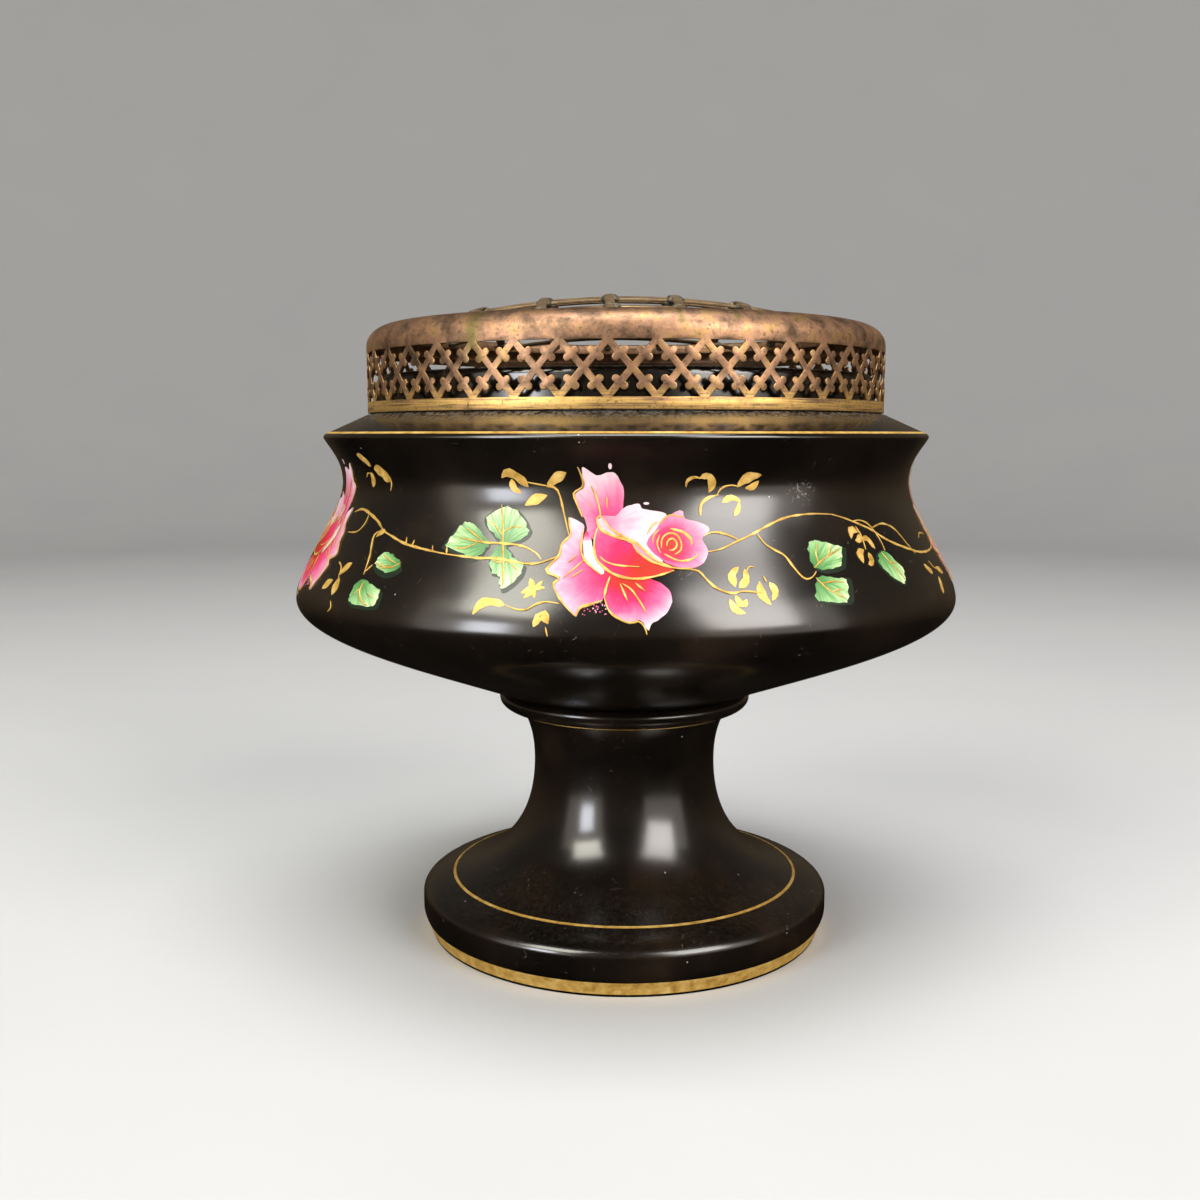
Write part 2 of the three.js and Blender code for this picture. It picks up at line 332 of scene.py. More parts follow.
scuff_across = add(tree, "Math", {0: scuff_turn, 1: unrolled / scuff_half_width}, operation="MULTIPLY")
scuff_over = add(tree, "MapRange", {
    "Value": where.outputs["Z"], "From Min": scuff_low, "From Max": scuff_high}, clamp=False)
scuff_place = add(tree, "CombineXYZ", {"X": scuff_across, "Y": scuff_over})
scuff_far = add(tree, "VectorMath", {0: scuff_place}, operation="LENGTH")
scuff_reach = add(tree, "MapRange", {"Value": scuff_far, "From Min": 1, "From Max": 0.2})
scuff_grain = add(tree, "TexNoise", {
    "Vector": place, "Scale": 1 / scuff_grain_size, "Detail": 4, "Roughness": 0.7})
scuff_spots = add(tree, "ValToRGB", {"Fac": scuff_grain}, [(0.55, 0.0), (0.66, 0.8)])
scuff = add(tree, "Math", {0: scuff_reach, 1: scuff_spots}, operation="MULTIPLY")
coat = body
for share, colour in ((dust, "#7d756a"), (speck, "#b9b2a8"), (hair, "#8b8378"), (scuff, "#a9a39a")):
    coat = add(tree, "Mix", {"Factor": share, 6: coat, 7: colour}, data_type="RGBA")
gloss = add(tree, "MapRange", {
    "Value": pooling, "From Min": 0.3, "From Max": 0.7, "To Min": 0.17, "To Max": 0.23})
dulled = add(tree, "Mix", {"Factor": dust, "A": gloss, "B": 0.75})
ripple = add(tree, "TexNoise", {"Vector": place, "Scale": 1 / ripple_size, "Detail": 2})
grain = add(tree, "TexNoise", {"Vector": place, "Scale": 1 / grain_size, "Detail": 1})
rippled = add(tree, "Bump", {"Height": ripple, "Strength": 0.05, "Distance": 0.1 * mm})
grained = add(tree, "Bump", {"Height": grain, "Strength": 0.12, "Distance": 0.02 * mm, "Normal": rippled})
feed(shader, {"Base Color": coat, "Roughness": dulled, "Normal": grained, "IOR": 1.8})
foot.data.materials.append(glaze)
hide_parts("pedestal_foot")
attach(foot, "pot")


# Gilt bands of the foot: liquid gold brushed on while the foot turned on the wheel and fired,
# a broad one above the base, a fine one round the top of the rim and one under the knop.
paint = 0.06


def banded(name, line, flats=192):
    """A band of gold: the stretch of the wall's outline that it covers, lifted by the paint's thickness"""
    lifted = []
    for order, (radius, height) in enumerate(line):
        before = line[max(order - 1, 0)]
        after = line[min(order + 1, len(line) - 1)]
        run = (after[0] - before[0], after[1] - before[1])
        length = math.hypot(*run)
        lifted.append((radius + paint * run[1] / length, height - paint * run[0] / length))
    return turned(name, joined(line, reversed(lifted)), closed=True, flats=flats, smooth_to=60)


def between(line, low, high):
    """The stretch of an outline that lies between two heights, cut exactly there"""
    kept = []
    for (r0, z0), (r1, z1) in zip(line, line[1:]):
        for share in (0.0, 0.25, 0.5, 0.75, 1.0):
            height = z0 + (z1 - z0) * share
            if low <= height <= high:
                kept.append((r0 + (r1 - r0) * share, height))
    return joined(kept)


# Liquid bright gold: a film of real gold fired on to the glaze. It gives a satin yellow metal
# that is thin and brown where the brush ran dry and rubbed through along its edges.
gilding, tree, shader, place = painted("fired_gilding")
brush_size = 2.2 * mm
rub_size = 0.7 * mm
brushing = add(tree, "TexNoise", {"Vector": place, "Scale": 1 / brush_size, "Detail": 4, "Roughness": 0.6})
gold = add(tree, "ValToRGB", {"Fac": brushing}, [(0.3, "#b98e40"), (0.5, "#e2b45a"), (0.72, "#f6d684")])
rubbing = add(tree, "TexNoise", {"Vector": place, "Scale": 1 / rub_size, "Detail": 6, "Roughness": 0.75})
rubbed = add(tree, "ValToRGB", {"Fac": rubbing}, [(0.71, 0.0), (0.76, 1.0)])
worn_gold = add(tree, "Mix", {"Factor": rubbed, 6: gold, 7: "#2a1a0f"}, data_type="RGBA")
matt = add(tree, "MapRange", {
    "Value": brushing, "From Min": 0.3, "From Max": 0.7, "To Min": 0.33, "To Max": 0.52})
feed(shader, {"Base Color": worn_gold, "Roughness": matt, "Metallic": 0.4})

foot_bands = (
    banded("gilt_base_band", between(foot_outside[:11], 0.45, 3.9)),
    banded("gilt_rim_line", [(44.35, 14.02), foot_top, (43.65, 14.24)]),
    banded("gilt_knop_line", [point for point in sweep(*knop_underside, 54) if 27.8 < point[0] < 28.5]),
)
for band in foot_bands:
    band.data.materials.append(gilding)
    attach(band, "pot")


# Bowl: thrown as an even shell, broad at the belly and drawn in to a waist, with a sharp rounded
# shoulder, a sloping ledge for the collar and a neck inside it. Glazed inside and out as the foot is.
bowl_seat = (31.0, 61.6)
belly = (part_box("bowl")[1].x / mm - 5 * paint, 86.8)
waist = (69.8, 115.0)
shoulder = (74.1, 125.0)
ledge_edge = (73.55, 126.1)
ledge_foot = (63.5, 130.7)
neck_bend = (62.7, 130.7)
neck_foot = (60.8, 133.2)
neck_wall = 3.1
lip_centre = (59.25, 138.45)
neck_inside = (57.7, 129.7)
shoulder_inside = (67.35, 124.0)
waist_inside = (65.3, 115.0)
belly_inside = (77.4, 86.8)
floor_edge = (26.5, 66.6)
wall_line = joined(
    sweep((bowl_seat, 20.5, 32.6), (belly, DOWN, 8.1), 44),
    sweep((belly, UP, 7.2), (waist, DOWN, 8.9), 36),
    sweep((waist, UP, 4.8), (shoulder, -117, 2.2), 16),
)
bowl_outline = joined(
    [(0, bowl_seat[1])],
    wall_line,
    sweep((shoulder, 63, 0.5), (ledge_edge, -24, 0.5), 5),
    [ledge_foot],
    sweep((neck_bend, 170, 1.2), (neck_foot, DOWN, 1.4), 6),
    [away(lip_centre, direction, neck_wall / 2) for direction in range(0, 181, 18)],
    sweep((neck_inside, DOWN, 2.5), (shoulder_inside, 155, 6), 10),
    sweep((shoulder_inside, -20, 3.2), (waist_inside, UP, 4.5), 8),
    sweep((waist_inside, DOWN, 8.9), (belly_inside, UP, 7), 20),
    sweep((belly_inside, DOWN, 6), (floor_edge, 18, 30), 24),
    [(0, floor_edge[1])],
)
bowl = turned("glazed_bowl", bowl_outline, closed=False)
bowl.data.materials.append(glaze)
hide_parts("bowl")
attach(bowl, "pot")

shoulder_band = banded("gilt_shoulder_line", [(73.5, 126.12), (73.1, 126.31), (72.7, 126.49)])
shoulder_band.data.materials.append(gilding)
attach(shoulder_band, "pot")


# Painted roses: four double roses in fired enamel colours, laid over the glaze one petal at a time with
# a loaded brush, so each petal runs from a deep heart to a nearly white edge.
net_size = 1.6
enamel_coat = 0.04
enamel_layer = 0.018
sunk = 0.03
slope_step = 0.1
wall_heights = [height for radius, height in wall_line]
wall_radii = [radius for radius, height in wall_line]


def on_wall(across, height, proud):
    """Where a point of the unrolled design lies: mm round the bowl, mm up its wall, mm proud of it"""
    levels = (height - slope_step, height, height + slope_step)
    below, radius, above = numpy.interp(levels, wall_heights, wall_radii)
    slope = (above - below) / (2 * slope_step)
    lean = math.hypot(1, slope)
    angle = across / unrolled
    radius += proud / lean
    return Vector((radius * math.sin(angle), -radius * math.cos(angle), height - proud * slope / lean)) * mm


def laid_flat(outline):
    """A flat face: a disc whose corners are moved to the outline's, taken anticlockwise"""
    turn = sum(a[0] * b[1] - b[0] * a[1] for a, b in zip(outline, outline[1:] + outline[:1]))
    corners = outline if turn > 0 else outline[::-1]
    piece = begun(bpy.ops.mesh.primitive_circle_add, vertices=len(corners), fill_type="NGON")
    for vertex, (across, up) in zip(piece.data.vertices, corners):
        vertex.co = (across, up, 0)
    return piece


def together(pieces, name):
    """Joins pieces into the first and gives it a name"""
    bpy.ops.object.select_all(action="DESELECT")
    for piece in pieces:
        piece.select_set(True)
    bpy.context.view_layer.objects.active = pieces[0]
    if len(pieces) > 1:
        bpy.ops.object.join()
    pieces[0].name = name
    return pieces[0]


def modified(piece, kind, **settings):
    """Gives the active piece one modifier with its settings and applies it"""
    modifier = piece.modifiers.new(kind.lower(), kind)
    for name, value in settings.items():
        setattr(modifier, name, value)
    bpy.ops.object.modifier_apply(modifier=modifier.name)


def flowing(points, closed, steps=4):
    """A smooth line through the given points"""
    count = len(points)
    line = []
    for order in range(count if closed else count - 1):
        near = [order + shift for shift in (-1, 0, 1, 2)]
        near = [n % count if closed else min(max(n, 0), count - 1) for n in near]
        a, b, c, d = (points[n] for n in near)
        for step in range(steps):
            t = step / steps
            line.append(tuple(
                0.5 * (2 * q + (r - p) * t + (2 * p - 5 * q + 4 * r - s) * t * t
                       + (3 * q - p - 3 * r + s) * t ** 3)
                for p, q, r, s in zip(a, b, c, d)
            ))
    return line if closed else line + [points[-1]]


def enamel(outline, layer, heart, reach, shades, ragged=0.06):
    """A coat of enamel in the unrolled design, cut fine enough for the wall and shaded from its heart"""
    rim = []
    for order, (across, height) in enumerate(flowing(outline, closed=True, steps=3)):
        waver = ragged * math.sin(order * 2.3 + outline[0][0])
        rim.append((across + waver, height + waver * math.cos(order * 1.7)))
    coat = laid_flat(rim)
    bpy.ops.object.mode_set(mode="EDIT")
    bpy.ops.mesh.select_all(action="SELECT")
    bpy.ops.mesh.quads_convert_to_tris(ngon_method="BEAUTY")
    for axis in (0, 1):
        low = min(point[axis] for point in rim)
        high = max(point[axis] for point in rim)
        for cut in range(1, math.ceil((high - low) / net_size)):
            place = low + cut * net_size
            bpy.ops.mesh.select_all(action="SELECT")
            bpy.ops.mesh.bisect(plane_co=(place, place, 0), plane_no=(1 - axis, axis, 0))
    bpy.ops.object.mode_set(mode="OBJECT")
    middle = Vector([sum(point[axis] for point in rim) / len(rim) for axis in (0, 1)])
    ahead = (middle - Vector(heart)).normalized()
    shading = coat.data.uv_layers[0].data
    for loop in coat.data.loops:
        out = coat.data.vertices[loop.vertex_index].co.xy - Vector(heart)
        turn = math.atan2(ahead.x * out.y - ahead.y * out.x, ahead.dot(out))
        shading[loop.index].uv = (turn, shades[0] + (shades[1] - shades[0]) * out.length / reach)
    proud = enamel_coat + layer * enamel_layer
    for vertex in coat.data.vertices:
        vertex.co.z = proud
    modified(coat, "SOLIDIFY", thickness=proud + sunk, offset=-1)
    bpy.ops.object.shade_smooth_by_angle(angle=math.radians(40))
    return coat


def laid_on(pieces, places):
    """Joins flat pieces and lays a copy of them on the bowl at each place, some of them mirrored"""
    flat = together(pieces, "flat_design")
    copies = []
    for shift, mirrored in places:
        bpy.ops.object.select_all(action="DESELECT")
        flat.select_set(True)
        bpy.context.view_layer.objects.active = flat
        bpy.ops.object.duplicate()
        copy = bpy.context.object
        for vertex in copy.data.vertices:
            across = shift - vertex.co.x if mirrored else shift + vertex.co.x
            vertex.co = on_wall(across, vertex.co.y, vertex.co.z)
        if mirrored:
            on_all(bpy.ops.mesh.flip_normals)
        copies.append(copy)
    bpy.data.objects.remove(flat)
    return copies


# Each petal: its outline, its layer, the heart that its colour runs out from, how far that colour reaches,
# and its first and last shade, from orange-red at 0 to white at 1.
petals = (
    ([(-9.5, 119.5), (-8.1, 118.6), (-6.7, 117.8), (-4.8, 118.4), (-3.2, 118.3), (-1.9, 116.1),
      (-1.5, 114.8), (-1.7, 111.4), (-3.2, 109.5), (-4.6, 107.4), (-6.4, 105.2), (-8.4, 106.2),
      (-8.8, 108.4), (-10.1, 110.8), (-11.4, 113.9), (-10.1, 115), (-9.5, 115.6), (-9.8, 118.6)], 0,
      (-3, 108), 10.5, (0.3, 0.92)),
    ([(-12.3, 109.5), (-10.1, 108.6), (-9.2, 107.8), (-9.3, 105.1), (-9.2, 103.2), (-8.6, 101.4),
      (-7, 100.1), (-3, 99.2), (-4.5, 96.4), (-5.1, 93.9), (-7.3, 93.1), (-8.8, 92.6), (-9.5, 90.9),
      (-11.7, 93.1), (-13.6, 95.8), (-13.9, 97), (-12.9, 97.9), (-15, 98.8), (-15.5, 99.6), (-14, 101.5),
      (-13.4, 102.3), (-13.3, 104.2), (-11.7, 106.1), (-12.1, 107.9)], 1, (-4.2, 99.5), 11.5, (0.16, 0.97)),
    ([(-4.2, 98), (-2.8, 99.6), (0, 98.8), (3, 98), (5.8, 96.6), (6.9, 94.5), (6.1, 92), (4.3, 90.3),
      (3.2, 89.7), (2.7, 88.4), (1.8, 89.8), (1, 90.4), (0, 89.8), (-1.4, 90.1), (-3.6, 92), (-4.7, 94.5),
      (-4.5, 96.4)], 2, (-0.8, 98.6), 10, (-0.22, 0.93)),
    ([(-5.9, 109.8), (-3.2, 109.8), (-1.4, 111.5), (0, 112), (1.6, 112.2), (2.1, 111.3), (4.2, 110.9),
      (6.9, 110.2), (6.4, 108), (5.6, 105), (5.6, 101), (1.4, 104.2), (-0.4, 105.2), (-2.6, 106.4),
      (-4.2, 107.5)], 3, (-6, 107.5), 8, (0.62, 0.95)),
    ([(-6.7, 109.5), (-5.9, 107.9), (-3.9, 106.4), (-2, 105.2), (-0.1, 104.6), (0.6, 103.3), (2.1, 102),
      (4.3, 100.8), (7.7, 99.5), (6.1, 98.9), (3, 98.1), (-0.1, 97.9), (-2.9, 98.6), (-4.8, 99.8),
      (-6.4, 101.4), (-7, 103.2), (-7, 105.8), (-6.5, 107.6)], 4, (4.2, 98.5), 10.5, (-0.14, 0.42)),
    ([(-5.6, 109.5), (-4.2, 107.5), (-2.6, 106.4), (-0.4, 105.2), (1.4, 104.2), (3, 102.6), (4.9, 101.1),
      (7.1, 99.9), (4.3, 100.8), (2.1, 102), (0.6, 103.3), (-0.1, 104.6), (-3.9, 106.2), (-5.6, 107),
      (-6.7, 108.6)], 5, (8, 99), 16, (0.55, 0.85)),
    ([(-8.7, 106.8), (-9.2, 104.8), (-8.6, 101.4), (-7, 100), (-5.4, 98.8), (-5, 99.4), (-6.5, 101.4),
      (-7.2, 103.5), (-7.8, 105.6)], 6, (-8.7, 107), 2.4, (0.0, 0.97)),
    ([(7.9, 110.1), (9.6, 110.9), (10.3, 110.5), (10.6, 109.2), (13.6, 108.4), (15.3, 107.1), (13.5, 105.3),
      (14.4, 103.2), (13.3, 100.8), (10.5, 99.8), (7.1, 100.4), (5.2, 101.7), (3, 104), (3.2, 105.4),
      (4.9, 107.3), (5.5, 108.6), (6.8, 109.5)], 7, (7.6, 104.3), 7.2, (0.2, 0.84)),
    ([(7.4, 108), (9.8, 107.4), (11.6, 105.6), (11.8, 103.4), (10.4, 101.4), (7.8, 100.9), (5.4, 102),
      (4.5, 104.2), (5.2, 106.6)], 8, (7.5, 104.2), 4, (-0.15, 0.5)),
    ([(6.5, 105), (7.4, 105.5), (8.5, 105), (8.8, 103.9), (8, 103.1), (6.8, 103.2), (6.2, 104)], 9,
      (7.4, 104.2), 3, (-0.3, 0.05)),
)
# Stray touches of the same enamel: two white dabs, and specks that the brush spat beside the lowest petal
touches = [(3, 112.3, 1.2, 0.5, 1.0), (-4.2, 119.7, 0.7, 1.2, 1.0)]
spatter = random.Random(11)
speck_count = 60
for speck in range(speck_count):
    across = spatter.uniform(-8.6, -3.0)
    height = 93.6 - 2.4 * spatter.random() ** 2
    size = spatter.uniform(0.14, 0.32)
    touches.append((across, height, size, size, spatter.uniform(0.45, 0.85)))
dabs = [enamel(*petal) for petal in petals]
sixths = [n * math.pi / 3 for n in range(6)]
for across, height, width, depth, shade in touches:
    ring = [(across + width / 2 * math.cos(n), height + depth / 2 * math.sin(n)) for n in sixths]
    dabs.append(enamel(ring, 0, (across + 5, height), 1, (shade, shade), ragged=0.02))
rose_places = ((0, False), (102.5, False), (224, False), (-87, True))
roses = together(laid_on(dabs, rose_places), "painted_roses")

# Fired rose enamel: soft lead enamel with gold pink, laid thick. It gives an opaque satin colour that runs
# from orange-red through hot pink to white, with the brush's streaks along each petal.
rose_enamel, tree, shader, place = painted("fired_rose_enamel")
shading = place.node.outputs["UV"]
cloud_size = 3 * mm
streaks_round = add(tree, "Mapping", {"Vector": shading, "Scale": (9.0, 1.6, 1.0)})
streaks = add(tree, "TexNoise", {"Vector": streaks_round, "Scale": 1, "Detail": 4, "Roughness": 0.7})
cloud = add(tree, "TexNoise", {"Vector": place, "Scale": 1 / cloud_size, "Detail": 3})
shade = add(tree, "SeparateXYZ", {"Vector": shading}).outputs["Y"]
for pattern, change in ((streaks, 0.055), (cloud, 0.06)):
    shift = add(tree, "MapRange", {
        "Value": pattern, "From Min": 0.3, "From Max": 0.7, "To Min": -change, "To Max": change})
    shade = add(tree, "Math", {0: shade, 1: shift}, operation="ADD")
pinks = add(tree, "ValToRGB", {"Fac": shade}, [
    (0.0, "#b5240c"), (0.15, "#cd1e32"), (0.33, "#dd215c"), (0.55, "#de5587"), (0.76, "#dd98b1"),
    (0.95, "#e6c9d2")])
brushed = add(tree, "Bump", {"Height": streaks, "Strength": 0.3, "Distance": 0.04 * mm})
feed(shader, {"Base Color": pinks, "Normal": brushed, "Roughness": 0.34, "IOR": 1.55})
roses.data.materials.append(rose_enamel)
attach(roses, "pot")


# Painted leaves: green enamel over a darker wash that shows as a shadow beside each leaf, streaked out to
# a creamy edge. They hang from the gilt stems alone or in twos and threes.
def leaf(outline, heart, reach, wash):
    """A leaf and the wash under it: the same outline, moved by the wash's offset and spread a little"""
    middle = [sum(point[axis] for point in outline) / len(outline) for axis in (0, 1)]
    under = [tuple(middle[a] + wash[a] + 1.12 * (point[a] - middle[a]) for a in (0, 1)) for point in outline]
    washed = enamel(under, 0, heart, reach, (0.0, 0.0))
    return [washed, enamel(outline, 2, heart, reach, (0.25, 1.0), ragged=0.22)]


left_far_leaves = (
    leaf([(-54.8, 99.2), (-53.5, 101.1), (-52, 101.2), (-50, 100.5), (-47.5, 99.3), (-47.6, 98.2),
          (-50.5, 97.2), (-53.8, 98)], (-47.3, 99.4), 8, (0.4, -0.9))
    + leaf([(-58.6, 92), (-58.3, 94), (-57, 95), (-55.5, 95.3), (-53, 94.6), (-50.3, 93.6), (-50.1, 92),
            (-50.8, 90.5), (-56, 90.2), (-58.3, 90.6)], (-56.8, 95.4), 7.5, (0.5, -0.5))
)
left_near_leaves = (
    leaf([(-37.6, 103.5), (-36.5, 105.5), (-35, 107.8), (-34, 108.2), (-32, 107.5), (-29.8, 105.8),
          (-28, 104.3), (-28.3, 103.2), (-29.5, 101.5), (-31, 101.1), (-33, 102), (-36.8, 102.9)],
          (-28, 103.8), 9.5, (-0.2, -0.3))
    + leaf([(-29.8, 108.5), (-28.5, 110.2), (-26.5, 111.3), (-25, 111.3), (-22.5, 110), (-20.5, 107.5),
            (-20.2, 106.3), (-21.5, 105), (-24, 104.1), (-25, 104), (-26, 104.8), (-27.5, 106)], (-25, 104),
            7.5, (0.2, -0.2))
    + leaf([(-27, 101.8), (-26.5, 103), (-25, 103.9), (-23.5, 102.8), (-22, 101.4), (-20.2, 100.2),
            (-20.4, 98.5), (-21.5, 97), (-23.2, 95.7), (-24, 96.5), (-24.5, 98.2), (-25.8, 98.6),
            (-26.8, 100.2)], (-25, 104), 8, (0.3, -0.4))
)
right_near_leaves = (
    leaf([(35.4, 100.5), (35.7, 102.8), (36.5, 103.9), (38, 104.3), (40.5, 103.9), (43.5, 102.9),
          (44.2, 102.5), (43.3, 100.8), (42.2, 99.2), (40, 98.6), (37.5, 98.6), (35.8, 99.3)], (35.2, 98.8),
          9, (0.6, -0.4))
    + leaf([(34, 93), (34.6, 95.5), (35.5, 97), (37, 97.3), (39.5, 96.9), (42, 96.7), (42.2, 95.5),
            (41.5, 93.2), (40.5, 92.2), (38, 92.2), (35.5, 92.5)], (35, 97.2), 8, (0.8, -0.3))
)
right_far_leaves = (
    leaf([(53.5, 98.8), (54.3, 100.5), (56.2, 101.1), (58, 100.5), (59.5, 98.8), (60.8, 97.5), (60, 95.2),
          (58.8, 94.3), (57.5, 95), (56, 95.6), (54.5, 97.2)], (55.5, 101.5), 7.5, (-0.3, -0.2))
)
front_and_back = ((0, False), (224, False))
right_near_places = ((0, False), (104, False), (224, False), (353, True))
leaves = together(
    laid_on(left_far_leaves, front_and_back) + laid_on(left_near_leaves, front_and_back)
    + laid_on(right_near_leaves, right_near_places) + laid_on(right_far_leaves, front_and_back),
    "painted_leaves")

# Fired green enamel: copper green over a thin dark wash. It gives an opaque leaf green in separate strokes
# from the stem to a cream edge, and a dark smoky shadow where only the wash was laid.
leaf_enamel, tree, shader, place = painted("fired_green_enamel")
shading = place.node.outputs["UV"]
streaks_round = add(tree, "Mapping", {"Vector": shading, "Scale": (7.0, 1.2, 1.0)})
streaks = add(tree, "TexNoise", {"Vector": streaks_round, "Scale": 1, "Detail": 4, "Roughness": 0.75})
spread = add(tree, "MapRange", {
    "Value": streaks, "From Min": 0.3, "From Max": 0.7, "To Min": 0.45, "To Max": 1.45})
shade = add(tree, "SeparateXYZ", {"Vector": shading}).outputs["Y"]
streaked = add(tree, "Math", {0: shade, 1: spread}, operation="MULTIPLY")
greens = add(tree, "ValToRGB", {"Fac": streaked}, [
    (0.02, "#1a261a"), (0.1, "#376634"), (0.45, "#589150"), (0.78, "#97c283"), (1.0, "#d9e4b2")])
brushed = add(tree, "Bump", {"Height": streaks, "Strength": 0.3, "Distance": 0.04 * mm})
feed(shader, {"Base Color": greens, "Normal": brushed, "Roughness": 0.32, "IOR": 1.55})
leaves.data.materials.append(leaf_enamel)
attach(leaves, "pot")


# Gilt drawing: the last thing painted. Liquid gold from a fine brush lines the petals and the leaves' veins,
# and draws the trailing stems and the small gold sprigs beside them.
gold_body = 0.14
stroke_sides = 6
stroke_cut = 0.8
fewest_cuts = 5


def rod(sides, cuts):
    """A rod that reaches 1 to each side along Z, cut across so that it can be bent"""
    piece = begun(
        bpy.ops.mesh.primitive_cylinder_add, vertices=sides, radius=1, depth=2, end_fill_type="NGON")
    on_edges(piece, lambda a, b: abs(a.co.z - b.co.z) > 1, bpy.ops.mesh.subdivide, number_cuts=cuts)
    return piece


def stroke(width, points, proud=0.04, ends=0.35):
    """One stroke of the gold brush: a rod drawn flat along the line, full in its middle, thin at its ends"""
    line = flowing(points, closed=False)
    runs = [math.dist(a, b) for a, b in zip(line, line[1:])]
    lengths = [sum(runs[:n]) for n in range(len(line))]
    length = lengths[-1]
    acrosses, heights = zip(*line)
    gold = rod(stroke_sides, max(fewest_cuts, round(length / stroke_cut)))
    for vertex in gold.data.vertices:
        share = (vertex.co.z + 1) / 2
        start = share * length * 0.998
        here, ahead = (
            Vector((numpy.interp(place, lengths, acrosses), numpy.interp(place, lengths, heights)))
            for place in (start, start + 0.001 * length)
        )
        along = (ahead - here).normalized()
        swell = ends + (1 - ends) * math.sin(math.pi * share) ** 0.6
        uneven = 1 + 0.18 * math.sin(share * length * 1.7 + points[0][0])
        side = vertex.co.x * width / 2 * swell * uneven
        lift = proud + vertex.co.y * gold_body / 2 * min(swell + 0.2, 1)
        vertex.co = (here.x - along.y * side, here.y + along.x * side, lift)
    bpy.ops.object.shade_smooth_by_angle(angle=math.radians(80))
    return gold


rose_lines = (
    (0.6, [(-10.6, 119.6), (-10.1, 118.3), (-9.6, 115.8), (-11.3, 114.6), (-11.5, 113.9), (-10.8, 112),
           (-9.6, 109.5)]),
    (0.5, [(-8.1, 115.9), (-7.1, 113.9), (-6.4, 111.7), (-6, 109.5)]),
    (0.4, [(-4.9, 113.6), (-4.8, 111.4)]),
    (0.35, [(-8.4, 112.3), (-8.1, 111.8)]),
    (0.7, [(-5.6, 109.5), (-6.5, 109.8), (-6.7, 108.6), (-5.6, 107), (-3.9, 106.1), (-1.4, 105.3),
           (0.2, 104.5)]),
    (0.65, [(-5.6, 109.5), (-4.2, 107.5), (-2.6, 106.4), (-0.4, 105.3), (1.4, 104.2), (3, 102.6),
            (4.9, 101.1), (7.1, 100), (9.3, 99.7), (11.1, 99.8)]),
    (0.6, [(0.2, 104.5), (0.8, 103.4), (2.1, 102.1), (4.3, 100.8), (7.4, 99.8)]),
    (0.65, [(-6.5, 107.6), (-7, 105.8), (-7, 103.3), (-6.4, 101.4), (-4.8, 99.8), (-2.9, 98.6), (-0.1, 97.9),
            (3, 98.1), (6.1, 98.9), (7.7, 99.5)]),
    (0.45, [(-5.9, 102.1), (-4.8, 101.1), (-2.6, 100.4), (1.4, 100.1)]),
    (0.55, [(-9.2, 107), (-9.5, 105.1), (-9.4, 102.9), (-8.6, 101.4), (-7, 99.8), (-5.4, 98.6)]),
    (0.6, [(-12.3, 109.4), (-12.1, 107.9), (-11.7, 106.1), (-13.3, 104.2), (-13.4, 102.3), (-14, 101.5),
           (-15.5, 99.6), (-15, 98.8), (-12.9, 97.9), (-13.9, 97), (-13.6, 95.8), (-11.7, 93.1),
           (-9.5, 90.9)]),
    (0.7, [(-9.5, 90.9), (-8.8, 92.6), (-7.3, 93.1), (-5.1, 93.9)]),
    (0.35, [(-10.1, 102.3), (-11.7, 100.8)]),
    (0.35, [(-8.6, 101.5), (-12.3, 97.9)]),
    (0.35, [(-8.8, 99.5), (-10.8, 98.1)]),
    (0.45, [(-2.1, 97), (-0.8, 93.9)]),
    (0.45, [(-1.7, 97), (-0.1, 95.9), (1.4, 93.6), (2.4, 91.6)]),
    (0.45, [(0.6, 97.1), (2.3, 95.6)]),
    (0.55, [(-4.8, 94.5), (-3.9, 92), (-2, 90.4), (-0.4, 89.8), (1.1, 90.1), (2.1, 88.9), (2.4, 87.6)]),
    (0.6, [(-3.9, 98.3), (-4.5, 96.4), (-4.8, 94.5)]),
    (0.5, [(6.6, 104), (6.9, 105.1), (8, 105.4), (8.6, 104.4), (8, 103.3), (7, 103.2)]),
    (0.5, [(5.6, 103.6), (5.8, 105.4), (7, 106.4), (8.6, 106.2), (9.4, 104.8), (9.2, 103.2), (8, 102.4)]),
    (0.45, [(5.4, 106.2), (4.8, 104.4), (5.4, 102.6)]),
    (0.8, [(7.5, 107.3), (10, 106.6), (11.5, 105), (11.2, 104)]),
    (0.55, [(6, 102.5), (8.5, 101.2), (10.5, 101.3), (12, 102), (12.3, 102.8)]),
    (0.4, [(4, 104.5), (4.2, 106), (5.3, 107.2)]),
    (0.45, [(3, 106.2), (4, 108), (5.2, 108.6)]),
    (0.45, [(5.2, 108), (6.8, 109.6), (8, 110), (10.3, 109.5)]),
)
